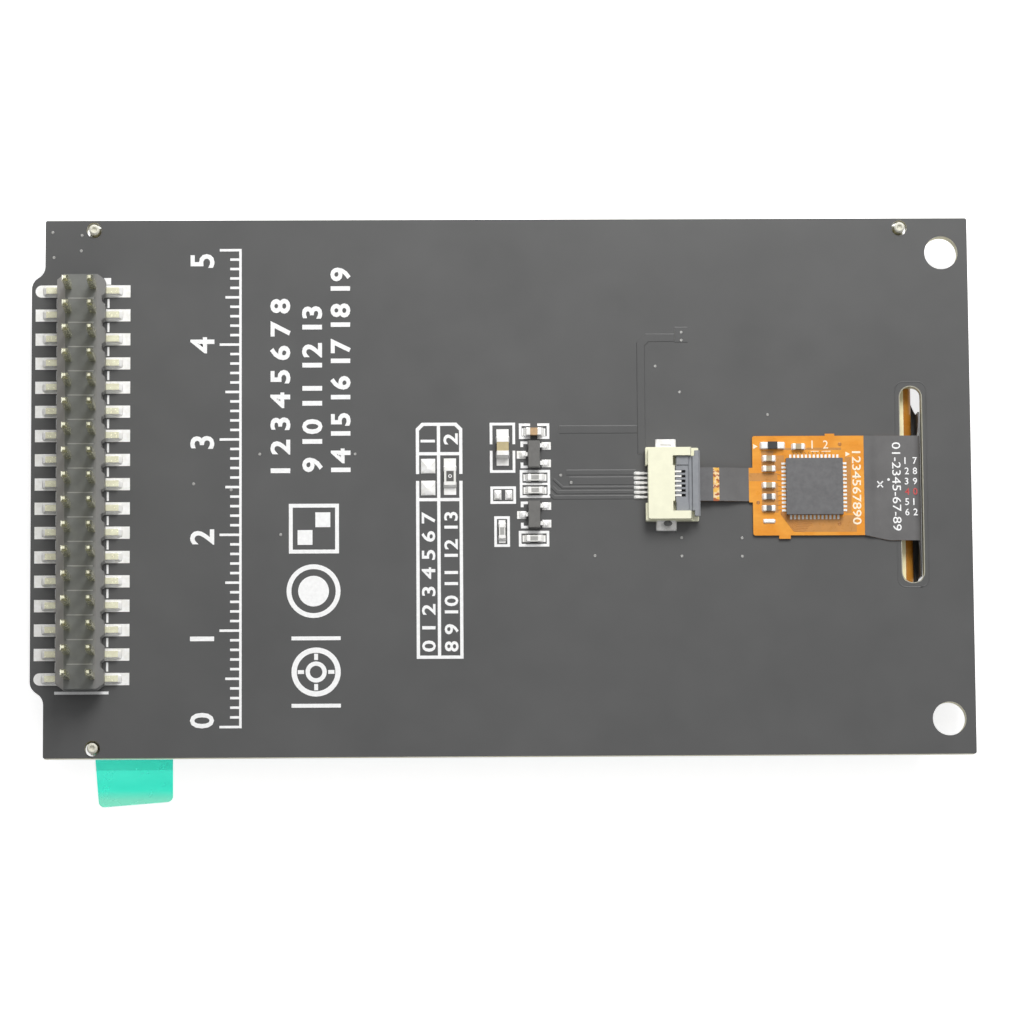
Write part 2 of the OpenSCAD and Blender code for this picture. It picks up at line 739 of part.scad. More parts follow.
// the display's own cable: from the ledge of the glass, round the end, to the board
module display_flex() {
    half = lcd_flex_t / 2;
    low = array_z - half;
    high = strip_z + half;
    bond_x = glass_x1 - lcd_bond_l;
    wide_x = lcd_tail_x + lcd_flex_end_l;
    out_x = panel_x1 + 2 * lcd_flex_out;
    route = concat([[bond_x, low]], arc(lcd_bend_x, low + lcd_bend_r, lcd_bend_r, -90, 90, 12),
        [[lcd_tail_x, high]]);
    wide = lcd_flex_w / 2;
    slim = wide - lcd_flex_taper;
    color("orange") intersection() {
        along_y(-wide, wide) sheet_section(route, -half, half);
        translate([0, 0, low - half]) linear_extrude(high - low + 2 * half) polygon([
            [lcd_tail_x, -slim], [wide_x, -slim], [wide_x + lcd_shoulder_l, -wide],
            [out_x, -wide], [out_x, wide], [wide_x + lcd_shoulder_l, wide],
            [wide_x, slim], [lcd_tail_x, slim]
        ]);
    }
}

module display_flex_joints() {
    x0 = lcd_tail_x + joint_inset;
    pitch = (lcd_flex_w - 2 * lcd_flex_taper) / joint_count;
    color("silver") for (i = [0:joint_count - 1]) {
        y = (i - (joint_count - 1) / 2) * pitch;
        plate(x0, y - pitch / 4, x0 + joint_l, y + pitch / 4, strip_z + lcd_flex_t, board_z);
    }
}

module mounting_strips() {
    y1 = panel_w / 2 - reflector_inset - strip_inset;
    color("gainsboro") for (y = [-y1, -strip_w / 2, y1 - strip_w])
        plate(panel_x0 + reflector_inset / 2 + strip_inset, y, lcd_tail_x - strip_flex_gap,
            y + strip_w, strip_z, board_z);
}

// ---------- circuit board ----------

// one end of the header edge: from full length out to the set-back corner
function edge_curve(y0, y1) = [
    for (p = soft_step([min(y0, y1), y0 < y1 ? 0 : edge_step], [max(y0, y1), y0 < y1 ? edge_step : 0]))
        [board_x0 + p.y, p.x]
];

function board_corner(x, y, a0) =
    arc(x - sign(x) * board_corner_r, y - sign(y) * board_corner_r, board_corner_r, a0, a0 + 90, 4);

module board_outline() {
    half = board_w / 2;
    reach = header_half + 0.25;
    top = header_shift + reach;
    bottom = header_shift - reach;
    setback = board_x0 + edge_step;
    polygon(concat(
        board_corner(board_x1, -half, 270), board_corner(board_x1, half, 0),
        board_corner(setback, half, 90),
        backwards(edge_curve(top, top + edge_curve_l)),
        backwards(edge_curve(bottom, bottom - edge_curve_l)),
        board_corner(setback, -half, 180)
    ));
}

module circuit_board() {
    hole_x = board_x1 - hole_inset;
    color("dimgray") difference() {
        translate([0, 0, board_z]) linear_extrude(board_t) difference() {
            board_outline();
            round_rect(slot_x0, -slot_l / 2, slot_x1, slot_l / 2, slot_r);
        }
        for (y = [-hole_pitch / 2, hole_pitch / 2])
            translate([hole_x, y, board_z - 1]) cylinder(d = hole_d, h = board_t + 2);
        for (p = pegs)
            translate([p.x, p.y, board_z - 1]) cylinder(d = peg_d + 2 * peg_clearance, h = board_t + 2);
    }
}

// a flat pad on the board, given by its middle
module pad(x, y, w, h) {
    translate([x - w / 2, y - h / 2]) square([w, h]);
}

// the two pads of a surface part
module pad_pair(s, toe) {
    inner = s[3] / 2 - s[6] - 0.05;
    outer = s[3] / 2 + toe;
    translate([s.x, s.y]) rotate(s[2]) for (side = [-1, 1])
        pad(side * (inner + outer) / 2, 0, outer - inner, s[4]);
}

module header_pads_2d() {
    for (i = [0:pin_rows - 1], side = [-1, 1]) {
        end_pad = side < 0 && (i == 0 || i == pin_rows - 1);
        r = end_pad ? header_pad_w / 2 - eps : eps;
        y = header_shift + i * pin_pitch - header_half;
        x0 = header_x + side * header_pad_in;
        x1 = header_x + side * (header_pad_out - r);
        translate([min(x0, x1), y - header_pad_w / 2]) square([abs(x1 - x0), header_pad_w]);
        if (end_pad) translate([x1, y]) circle(d = header_pad_w);
    }
}

module board_pads() {
    tab_mid = tab_x + side_tab_w / 2;
    color("gainsboro") translate([0, 0, board_top]) linear_extrude(pad_t) {
        header_pads_2d();
        for (s = concat(small_resistors, [bypass_cap])) pad_pair(s, small_toe);
        for (s = [supply_cap, link_resistor]) pad_pair(s, large_toe);
        for (p = link_pads) pad(p.x, p.y, 1.49, 1.53);
        for (p = spare_pads) pad(p.x, p.y, 0.74, 1);
        for (t = transistor_spots) {
            pad(t.x - transistor_lead.z + 0.32, t.y, transistor_pad.x, transistor_pad.y);
            for (side = [-1, 1])
                pad(t.x + transistor_lead.z - 0.32, t.y + side * transistor_lead.y,
                    transistor_pad.x, transistor_pad.y);
        }
        for (i = [0:contact_count - 1])
            pad(socket_x - tail_l / 2 - 0.1, (i - (contact_count - 1) / 2) * contact_pitch,
                tail_l, contact_w + 0.1);
        for (side = [-1, 1])
            pad(tab_mid, side * (socket_w / 2 + side_tab_l / 2), side_tab_w + 0.2, side_tab_l + 0.2);
    }
}

// a frame of white lines with the given outer size
module line_frame(f) {
    difference() {
        translate([f[0] - f[2] / 2, f[1] - f[3] / 2]) square([f[2], f[3]]);
        translate([f[0] - f[2] / 2 + thin_line_w, f[1] - f[3] / 2 + thin_line_w])
            square([f[2] - 2 * thin_line_w, f[3] - 2 * thin_line_w]);
    }
}

// an octagonal plate with cut corners at its upper end
module table_shape(grow) {
    w = table_size.x / 2 + grow;
    h = table_size.y / 2 + grow;
    c = table_corner + grow * 0.4;
    translate(table_mid) polygon([[-w, -h], [w, -h], [w, h - c], [w - c, h], [c - w, h], [-w, h - c]]);
}

module settings_table() {
    difference() {
        table_shape(0);
        table_shape(-line_w);
    }
    pad(table_mid.x - 0.06, table_mid.y, line_w, table_size.y - line_w);
    for (y = table_rules) pad(table_mid.x, y, table_size.x - line_w, line_w);
}

// print round the pin header: dashes between the pads, two end lines and a mark at pin one
module header_outline() {
    x = 2.65;
    corner_y = header_shift + header_half + header_pad_w / 2;
    for (i = [0:pin_rows - 2], side = [-1, 1])
        pad(header_x + side * x, header_shift + (i + 0.5) * pin_pitch - header_half, 0.22, 0.95);
    pad(header_x, header_shift - header_half - pin_pitch / 2 - 0.16, 2 * x + 0.3, 0.3);
    pad(header_x + x - 0.1, corner_y + 0.43, 0.72, 0.7);
}

module transistor_corners() {
    for (t = transistor_spots, side = [-1, 1]) {
        pad(t.x - 1, t.y + side * 1.27, 0.78, thin_line_w);
        pad(t.x - 1.24, t.y + side * 1.11, thin_line_w + 0.02, 0.6);
    }
}

module board_print() {
    color("white") translate([0, 0, board_top]) linear_extrude(print_t) {
        header_outline();
        transistor_corners();
        difference() {
            union() {
                for (f = print_frames) line_frame(f);
                pad(print_frames[2][0], print_frames[2][1], print_frames[2][2] - thin_line_w, 0.22);
                settings_table();
            }
            for (b = print_breaks) pad(b[0], b[1], b[2], b[3]);
        }
        pad(table_mid.x - 0.06, print_breaks[2][1], line_w, print_breaks[2][3] + eps);
    }
}

// a printed centimetre scale: a base line with a mark at each millimetre
module scale_print() {
    color("white") translate([0, 0, board_top]) linear_extrude(print_t) {
        translate([scale_x - scale_line_w, -scale_l / 2 - scale_line_w / 2])
            square([scale_line_w, scale_l + scale_line_w]);
        for (i = [0:scale_l]) {
            tick = i % 10 == 0 ? scale_ticks[0] : i % 5 == 0 ? scale_ticks[1] : scale_ticks[2];
            translate([scale_x - tick, i - scale_l / 2 - scale_line_w / 2]) square([tick, scale_line_w]);
        }
    }
}

// ---------- pin header ----------

// outline of the housing seen from above: notched segments, one to each pair of pins
function housing_side(side) = [
    for (i = [0:pin_rows - 1], k = [0:3])
        let (y = (side > 0 ? i : pin_rows - 1 - i) * pin_pitch - header_half,
             half = pin_pitch / 2, flat = half - notch_w / 2,
             step = [[notch_d, -half], [0, -flat], [0, flat], [notch_d, half]][k],
             inset = k == 0 || k == 3 ? step.x : 0)
        [side * (housing_w / 2 - inset), y + side * step.y]
];

module header_housing() {
    length = pin_rows * pin_pitch;
    top = housing_h;
    color("dimgray") translate([header_x, header_shift, housing_z]) difference() {
        intersection() {
            linear_extrude(top) difference() {
                polygon(concat(housing_side(1), housing_side(-1)));
                for (i = [0:pin_rows - 1], side = [-1, 1])
                    pad(side * pin_pitch / 2, i * pin_pitch - header_half, pin_w, pin_w);
            }
            along_y(-length, length) polygon([
                [-housing_w, -1], [housing_w, -1], [housing_w, 0],
                [housing_w / 2, top - housing_bevel_h], [housing_w / 2 - housing_bevel_w, top],
                [housing_bevel_w - housing_w / 2, top], [-housing_w / 2, top - housing_bevel_h],
                [-housing_w, 0]
            ]);
        }
        for (i = [1:pin_rows - 1])
            translate([-housing_w / 2, i * pin_pitch - header_half - pin_pitch / 2 - 0.06, top - 0.1])
                cube([housing_w, 0.12, 1]);
    }
}

// one square pin with its bent foot; side -1 bends it outward, side 1 inward
module header_pin(side) {
    half = pin_w / 2;
    r = pin_bend_r + half;
    x = pin_pitch / 2;
    foot_z = seat_z + half;
    shoulder = pin_top - pin_tip_l;
    tip = (pin_w - pin_tip_w) / 2;
    route = concat([[x, shoulder]], arc(x + r, foot_z + r, r, 180, 270, 6), [[foot_reach, foot_z]]);
    scale_side = side < 0 ? 180 : 0;
    rotate(scale_side) intersection() {
        along_y(-half, half) union() {
            sheet_section(route, -half, half);
            polygon([[x - half, shoulder], [x + half, shoulder], [x + half - tip, pin_top],
                [x - half + tip, pin_top]]);
        }
        along_x(0, foot_reach + 1) polygon([
            [-half, 0], [half, 0], [half, shoulder], [half - tip, pin_top],
            [tip - half, pin_top], [-half, shoulder]
        ]);
    }
}

module pin_row(side) {
    for (i = [0:pin_rows - 1])
        translate([header_x, header_shift + i * pin_pitch - header_half, 0]) header_pin(side);
}

module header_pins_outer() {
    color("khaki") pin_row(-1);
}

module header_pins_inner() {
    color("khaki") pin_row(1);
}

// ---------- cable connector ----------

// one contact: solder tail, back post, lower spring arm and upper hook arm
module contact_section() {
    heel = back_x + 0.08;
    post = heel + 0.25;
    root = post + 0.3;
    hook = axis_x + 0.15;
    top = axis_z + 0.22;
    low = floor_z - 0.06;
    polygon([
        [socket_x - tail_l, seat_z], [post, seat_z], [post, low - 0.2],
        [axis_x - 0.1, low - 0.2], [axis_x - 0.1, low], [root, low],
        [root, top - contact_t], [hook, top - contact_t], [hook, top],
        [heel, top], [heel, seat_z + tail_t], [socket_x - tail_l, seat_z + tail_t]
    ]);
}

module each_contact() {
    for (i = [0:contact_count - 1])
        translate([0, (i - (contact_count - 1) / 2) * contact_pitch, 0]) children();
}

module connector_contacts() {
    color("silver") each_contact() along_y(-contact_w / 2, contact_w / 2) contact_section();
}

// the body: a low base, the narrower upper body on it, and an arm at each side of the lever
module socket_housing_shape() {
    half = socket_w / 2;
    upper = half - socket_flange;
    inner = half - arm_w;
    nose = inner - 1.05;
    shoulder_x = socket_front - 0.2;
    end_x = socket_x + socket_l;
    mouth = tail_w / 2 + 0.1;
    base = seat_z + socket_base_h;
    top = seat_z + socket_h;
    // floor under everything, and the base behind the lever
    translate([0, 0, seat_z]) linear_extrude(socket_floor) round_rect(socket_x, -half, end_x, half, 0.12);
    translate([0, 0, floor_z - eps]) linear_extrude(base - floor_z + eps)
        round_rect(socket_x, -half, shoulder_x, half, 0.12);
    // closed upper body
    translate([0, 0, floor_z - eps]) linear_extrude(top - floor_z + eps) {
        round_rect(back_x, -upper, shoulder_x, upper, 0.2);
        translate([shoulder_x - 0.5, -nose]) square([socket_front - shoulder_x + 0.5, 2 * nose]);
    }
    // arms, rounded about the lever's axis
    for (side = [0, 1]) mirror([0, side, 0]) intersection() {
        along_x(back_x + 0.3, end_x) polygon([
            [inner, floor_z - eps], [half, floor_z - eps], [half, base],
            [upper, base], [upper, top], [inner, top]
        ]);
        union() {
            plate(socket_x, 0, axis_x, half + 1, seat_z, top + 1);
            translate([axis_x, 0, axis_z]) rotate([90, 0, 0])
                cylinder(r = arm_l, h = 2 * socket_w, center = true);
            plate(axis_x, 0, axis_x + arm_l, half + 1, seat_z, axis_z);
        }
    }
    // rails that guide the cable under the lever
    for (side = [-1, 1])
        plate(axis_x + 0.62, side < 0 ? -inner : mouth, end_x, side < 0 ? -mouth : inner,
            floor_z - eps, axis_z - lever_below - lever_clearance);
}

module connector_housing() {
    half = socket_w / 2;
    inner = half - arm_w;
    mouth = tail_w / 2 + 0.05;
    slot = cable_t + tail_stiffener_t + 0.04;
    tails_half = contact_count / 2 * contact_pitch + 0.5;
    color("ivory") difference() {
        socket_housing_shape();
        // the mouth that takes the cable
        plate(tail_end - 0.1, -mouth, socket_front + 1, mouth, floor_z, floor_z + slot);
        // one cell for each contact
        each_contact() along_y(-contact_w / 2, contact_w / 2) contact_section();
        // the blind bores for the lever's pivots
        translate([axis_x, 0, axis_z]) rotate([90, 0, 0])
            cylinder(r = pivot_r + lever_clearance, h = 2 * (inner + pivot_l + lever_clearance),
                center = true);
        // rebates for the holding tabs
        for (side = [-1, 1])
            plate(tab_x, side < 0 ? -half - 1 : half - side_tab_t, tab_x + side_tab_w,
                side < 0 ? side_tab_t - half : half + 1, seat_z - 1, seat_z + side_tab_h);
        // opening in the base for the solder tails
        plate(socket_x - 1, -tails_half, back_x, tails_half, seat_z - 1, seat_z + socket_base_h + eps);
    }
}

module connector_tabs() {
    half = socket_w / 2;
    foot = half + side_tab_l;
    rim = side_tab_rim;
    color("gainsboro") for (side = [0, 1]) mirror([0, side, 0]) difference() {
        along_x(tab_x, tab_x + side_tab_w) polygon([
            [half - side_tab_t, seat_z], [foot, seat_z], [foot, seat_z + side_tab_t],
            [half, seat_z + side_tab_t], [half, seat_z + side_tab_h],
            [half - side_tab_t, seat_z + side_tab_h]
        ]);
        // window that the solder rises through
        translate([0, 0, seat_z - 1]) linear_extrude(side_tab_t + 1.1)
            round_rect(tab_x + rim, half + 0.02, tab_x + side_tab_w - rim, foot - rim, 0.15);
    }
}

// the flip lock lever, drawn closed
module connector_lever() {
    plate_w = socket_w / 2 - arm_w - 0.05;
    comb_w = plate_w - 0.9;
    arm_end = axis_x + arm_l;
    bar_x = arm_end + lever_gap;
    bottom = axis_z - lever_below;
    top = axis_z + lever_above;
    rim = top + lever_rim;
    groove_x = arm_end - lever_groove_w;
    groove_z = top - lever_groove_d;
    slope = 0.1;
    color("slategray") {
        difference() {
            union() {
                translate([axis_x, 0, axis_z]) rotate([90, 0, 0]) intersection() {
                    cylinder(r = lever_back_r, h = 2 * plate_w, center = true);
                    translate([-5, -lever_below, -5]) cube([10, lever_below + lever_above, 10]);
                }
                // end blocks and free edge, with the finger groove between them
                along_y(-plate_w, plate_w) polygon([
                    [axis_x, bottom], [bar_x + 0.1, bottom], [bar_x + 0.1, rim], [arm_end + slope, rim],
                    [arm_end, groove_z], [groove_x + slope, groove_z], [groove_x, top], [axis_x, top]
                ]);
                along_y(-lever_w / 2, lever_w / 2) polygon([
                    [bar_x, bottom], [lever_end - 0.15, bottom], [lever_end, bottom + 0.15],
                    [lever_end, rim - 0.2], [lever_end - 0.2, rim], [bar_x, rim]
                ]);
            }
            // comb, lower than the end blocks, with a slot for each contact
            plate(axis_x - 1, -comb_w, groove_x + eps, comb_w, top - lever_comb_d, top + 1);
            each_contact() plate(axis_x - 1, -finger_slot_w / 2, axis_x + finger_slot_l,
                finger_slot_w / 2, axis_z - 1, axis_z + 1);
        }
        for (side = [-1, 1]) translate([axis_x, side * (plate_w + pivot_l / 2 + 0.02), axis_z])
            rotate([90, 0, 0]) cylinder(r = pivot_r, h = pivot_l + 0.06, center = true);
    }
}

// ---------- touch cable ----------

// the middle line of the whole cable, from the connector over the board, down the slot
// and under to the ledge of the touch sensor
foot_z = gasket_z + cable_half;
cable_route = concat(
    [[tail_end, tail_z]],
    soft_step([tail_film_x, tail_z], [field_x - 0.4, field_z]),
    soft_step([field_x1 + 0.2, field_z], [field_x1 + 1.6, lane_z]),
    arc(drop_x - drop_bend_r, lane_z - drop_bend_r, drop_bend_r, 90, 0),
    arc(drop_x - foot_bend_r, foot_z + foot_bend_r, foot_bend_r, 0, -90),
    [[panel_x1 - bond_l, foot_z]]
);

// the cable seen from above, over the board
module cable_plan() {
    tail_half = tail_w / 2;
    y0 = field_shift - field_w / 2;
    y1 = field_shift + field_w / 2;
    low = cable_shift - cable_w / 2;
    high = cable_shift + cable_w / 2;
    neck = [field_x - 0.37, -1.88, 1.7];
    // narrow tail, root of the tail, amber field and the lane to the slot
    translate([tail_end, -tail_half]) square([field_x - tail_end + 1, tail_w]);
    translate([neck[0], neck[1]]) square([1, neck[2] - neck[1]]);
    round_rect(field_x, y0, field_x1, y1, 0.25);
    polygon([[field_x1 - 1, y1], [field_x1 - 1, y0], [field_x1, y0], [field_x1 + 2.6, low],
        [slot_x1 + 1, low], [slot_x1 + 1, high], [field_x1 + 0.4, high], [field_x1, y1]]);
    // remains of the ties that held the cable in its sheet
    translate([field_x + 7.6, y1 - 0.1]) square([1, 0.32]);
    translate([field_x + 2.7, y0 - 0.35]) square([1.2, 0.45]);
}

// the cable below the board, as seen from above and from the end
module cable_root() {
    bend_top = foot_z + foot_bend_r;
    low = cable_shift - cable_w / 2;
    high = cable_shift + cable_w / 2;
    shoulder = [7.75, -9.6];
    neck_z = board_top - 0.9;
    lane_edge_z = board_top - 0.2;
    translate([0, 0, foot_z - 1]) linear_extrude(bend_top - foot_z + 1) polygon([
        [panel_x1 - 2, -root_w - 0.2], [drop_x - 0.3, -root_w - 0.2], [drop_x, shoulder[1]],
        [drop_x + 1, shoulder[1]], [drop_x + 1, shoulder[0]], [drop_x, shoulder[0]],
        [drop_x - 0.95, root_w - 0.1], [panel_x1 - 2, root_w - 0.1]
    ]);
    along_x(drop_x - 1, drop_x + 1) polygon([
        [shoulder[1], bend_top - eps], [shoulder[0], bend_top - eps], [shoulder[0], neck_z],
        [high, lane_edge_z], [high, board_top - eps], [low, board_top - eps],
        [low, lane_edge_z], [shoulder[1], neck_z]
    ]);
}

module cable_layer(route, d0, d1) {
    intersection() {
        along_y(-root_w - 1, root_w + 1) sheet_section(route, d0, d1);
        union() {
            translate([0, 0, board_top - 2 * eps]) linear_extrude(3) cable_plan();
            cable_root();
        }
    }
}

module touch_flex() {
    color("orange") cable_layer(cable_route, -cable_half, cable_half);
}

// black film on the outer side: on the neck, and from the amber field down to the panel
neck_route = soft_step([tail_film_x, tail_z], [field_x - 0.4, field_z]);
lane_route = concat(
    [[field_x1, field_z]],
    soft_step([field_x1 + 0.2, field_z], [field_x1 + 1.6, lane_z]),
    arc(drop_x - drop_bend_r, lane_z - drop_bend_r, drop_bend_r, 90, 0),
    arc(drop_x - foot_bend_r, foot_z + foot_bend_r, foot_bend_r, 0, -90),
    [[panel_x1 + 0.1, foot_z]]
);

module flex_cover_film() {
    color("black") {
        cable_layer(neck_route, cable_half, cable_skin);
        cable_layer(lane_route, cable_half, cable_skin);
    }
}

// black film on the inner side, from the lane over the board down to the sensor
module flex_backing_film() {
    route = concat(
        soft_step([field_x1 + 0.2, field_z], [field_x1 + 1.6, lane_z]),
        arc(drop_x - drop_bend_r, lane_z - drop_bend_r, drop_bend_r, 90, 0),
        arc(drop_x - foot_bend_r, foot_z + foot_bend_r, foot_bend_r, 0, -90),
        [[panel_x1 - bond_l, foot_z]]
    );
    color("black") cable_layer(route, -cable_skin, -cable_half);
}

module tail_stiffener() {
    color("gray") plate(tail_end, -tail_w / 2, tail_bare_x, tail_w / 2,
        tail_z + cable_half, tail_z + cable_half + tail_stiffener_t);
}

module field_plate() {
    color("peru") translate([0, 0, board_top]) linear_extrude(field_plate_t)
        round_rect(field_x, field_shift - field_w / 2, field_x1, field_shift + field_w / 2, 0.25);
}

// ---------- touch controller and the parts on the amber field ----------

module touch_controller() {
    half = chip_w / 2;
    color("dimgray") translate([chip_mid.x, chip_mid.y, field_top + pad_t]) difference() {
        translate([-half, -half, 0]) cube([chip_w, chip_w, chip_h]);
        translate([half - 0.55, half - 0.5, chip_h - 0.04]) cylinder(r = 0.14, h = 1);
    }
}

module controller_leads() {
    half = chip_w / 2;
    color("gainsboro") translate([chip_mid.x, chip_mid.y, field_top]) linear_extrude(pad_t)
        for (turn = [0:90:270], i = [0:lead_count - 1])
            rotate(turn) translate([half - 0.35, (i - (lead_count - 1) / 2) * lead_pitch - lead_w / 2])
                square([lead_out + 0.35, lead_w]);
}

// a chip part lies along X, turned into place; its body is between two metal ends
module part_place(s, z) {
    translate([s.x, s.y, z]) rotate(s[2]) children();
}

module part_body(s, z) {
    inner = s[3] / 2 - s[6];
    part_place(s, z) translate([-inner, -s[4] / 2 + 0.02, 0.02])
        cube([2 * inner, s[4] - 0.04, s[5] - 0.04]);
}

// the section of a metal end, with softly rounded edges
module end_section(w, h) {
    round_rect(-w / 2, 0, w / 2, h, 0.08);
}

module part_ends(s, z) {
    part_place(s, z) for (side = [0, 180]) rotate(side)
        along_x(s[3] / 2 - s[6], s[3] / 2) end_section(s[4], s[5]);
}

function on_field(s) = [s.x + field_corner.x, s.y + field_corner.y, s[2], s[3], s[4], s[5], s[6]];

module flex_diode() {
    s = on_field(diode_spot);
    color("black") part_place(s, field_top) translate([-s[3] / 2, -s[4] / 2, 0.02])
        cube([s[3], s[4], s[5]]);
}

module flex_capacitors() {
    color("tan") for (s = flex_cap_spots) part_body(on_field(s), field_top);
}

module flex_resistors() {
    color("black") for (s = flex_res_spots) part_body(on_field(s), field_top);
}

module flex_part_ends() {
    color("gainsboro") for (s = concat(flex_cap_spots, flex_res_spots, [diode_ends]))
        part_ends(on_field(s), field_top);
}

// ---------- parts on the board ----------

module supply_capacitor() {
    color("tan") part_body(supply_cap, seat_z);
}

module bypass_capacitor() {
    color("sandybrown") part_body(bypass_cap, seat_z);
}

module capacitor_ends() {
    color("gainsboro") for (s = [supply_cap, bypass_cap]) part_ends(s, seat_z);
}

module transistors() {
    w = transistor_size.x / 2;
    l = transistor_size.y / 2;
    parting = transistor_h * 0.45;
    draft = 0.08;
    color("dimgray") for (t = transistor_spots) translate([t.x, t.y, seat_z]) intersection() {
        along_y(-l, l) polygon([[-w + draft, 0.1], [w - draft, 0.1], [w, parting],
            [w - draft, transistor_h], [draft - w, transistor_h], [-w, parting]]);
        along_x(-w, w) polygon([[-l + draft, 0.1], [l - draft, 0.1], [l, parting],
            [l - draft, transistor_h], [draft - l, transistor_h], [-l, parting]]);
    }
}

// gull-wing lead of a transistor, from the body side at x0 to the foot end at x1
module gull_lead(x0, x1) {
    high = transistor_h * 0.45;
    half = transistor_lead_t / 2;
    knee = x0 + 0.18;
    route = [[x0, high], [knee, high], [knee + 0.1, half], [x1, half]];
    along_y(-transistor_lead.x / 2, transistor_lead.x / 2) sheet_section(route, -half, half);
}

module transistor_leads() {
    w = transistor_size.x / 2;
    color("gainsboro") for (t = transistor_spots) translate([t.x, t.y, seat_z]) {
        rotate(180) gull_lead(w, transistor_lead.z - 0.3);
        for (side = [-1, 1]) translate([0, side * transistor_lead.y, 0])
            gull_lead(w, transistor_lead.z - 0.3);
    }
}

all_resistors = concat(small_resistors, [link_resistor]);

module resistor_bodies() {
    color("whitesmoke") for (s = all_resistors) part_body(s, seat_z);
}

module resistor_coats() {
    color("black") for (s = all_resistors) part_place(s, seat_z)
        translate([s[6] - s[3] / 2 + 0.05, -s[4] * coat_share / 2, s[5] - 0.02])
            cube([s[3] - 2 * s[6] - 0.1, s[4] * coat_share, 0.03]);
}

module resistor_ends() {
    color("gainsboro") for (s = all_resistors) part_ends(s, seat_z);
}

protective_film();
film_pull_tab();
cover_glass();
border_print();
optical_adhesive();
touch_sensor();
gasket_tape();
front_polarizer();
filter_glass();
array_glass();
display_driver_chip();
rear_polarizer();
rim_tape();
brightness_films();
light_guide();
reflector_film();
backlight_frame();
lamp_strip();
backlight_lamps();
display_flex();
display_flex_joints();
mounting_strips();
circuit_board();
board_pads();
board_print();
scale_print();
header_housing();
header_pins_outer();
header_pins_inner();
connector_housing();
connector_contacts();
connector_tabs();
connector_lever();
touch_flex();
flex_cover_film();
flex_backing_film();
tail_stiffener();
field_plate();
touch_controller();
controller_leads();
flex_diode();
flex_capacitors();
flex_resistors();
flex_part_ends();
supply_capacitor();
bypass_capacitor();
capacitor_ends();
transistors();
transistor_leads();
resistor_bodies();
resistor_coats();
resistor_ends();
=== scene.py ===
"""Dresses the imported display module: finishes, solder, tracks, print, light and camera."""

import json
import math

import bmesh
import bpy
from mathutils import Matrix, Vector


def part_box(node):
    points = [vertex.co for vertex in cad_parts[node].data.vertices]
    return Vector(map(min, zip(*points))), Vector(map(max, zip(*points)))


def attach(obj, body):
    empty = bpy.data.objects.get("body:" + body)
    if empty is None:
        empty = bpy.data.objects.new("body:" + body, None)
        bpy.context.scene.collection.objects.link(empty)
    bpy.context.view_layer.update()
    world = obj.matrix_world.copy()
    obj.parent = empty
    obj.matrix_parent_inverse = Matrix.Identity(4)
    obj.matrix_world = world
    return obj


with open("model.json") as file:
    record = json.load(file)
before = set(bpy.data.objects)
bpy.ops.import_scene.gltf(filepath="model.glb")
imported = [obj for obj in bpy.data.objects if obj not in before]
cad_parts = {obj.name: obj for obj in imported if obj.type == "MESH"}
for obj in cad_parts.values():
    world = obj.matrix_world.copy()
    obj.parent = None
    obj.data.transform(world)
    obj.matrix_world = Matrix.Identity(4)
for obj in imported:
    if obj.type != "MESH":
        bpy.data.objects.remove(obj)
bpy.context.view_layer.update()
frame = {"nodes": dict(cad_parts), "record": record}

MM = 0.001
BODY = "module"
nodes = frame["nodes"]


# ---------- places, in millimetres ----------

def box(node):
    """Lowest and highest corner of a CAD node, in millimetres."""
    low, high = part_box(node)
    return Vector(low) / MM, Vector(high) / MM


BOARD_TOP = box("circuit_board")[1].z
PAD_TOP = box("board_pads")[1].z
FIELD_LOW = box("field_plate")[0]
FIELD_TOP = box("controller_leads")[0].z
SLOT = (41.63, -10.3, 43.88, 10.3)
LANE_TOP = 5.765
INK = 0.03
THIN_INK = 0.015
TURNED = 90


def islands(node):
    """The box of each separate solid in a CAD node, in millimetres, as (low, high)."""
    mesh = nodes[node].data
    key_of, parent = {}, []
    place = []
    for v in mesh.vertices:
        key = tuple(round(c / MM, 3) for c in v.co)
        if key not in key_of:
            key_of[key] = len(parent)
            parent.append(len(parent))
        place.append(key_of[key])

    def root(i):
        while parent[i] != i:
            parent[i] = parent[parent[i]]
            i = parent[i]
        return i

    for polygon in mesh.polygons:
        first = root(place[polygon.vertices[0]])
        for index in polygon.vertices[1:]:
            parent[root(place[index])] = first
    boxes = {}
    for key, index in key_of.items():
        low, high = boxes.setdefault(root(index), ([math.inf] * 3, [-math.inf] * 3))
        for axis in range(3):
            low[axis] = min(low[axis], key[axis])
            high[axis] = max(high[axis], key[axis])
    found = [(Vector(low), Vector(high)) for low, high in boxes.values()]
    return sorted(found, key=lambda b: (-round(b[0].y, 2), round(b[0].x, 2)))


def middle(bounds):
    return (bounds[0] + bounds[1]) / 2


def grown(rect, by):
    return (rect[0] - by, rect[1] - by, rect[2] + by, rect[3] + by)


def flat_rect(bounds):
    return (bounds[0].x, bounds[0].y, bounds[1].x, bounds[1].y)


# ---------- materials ----------

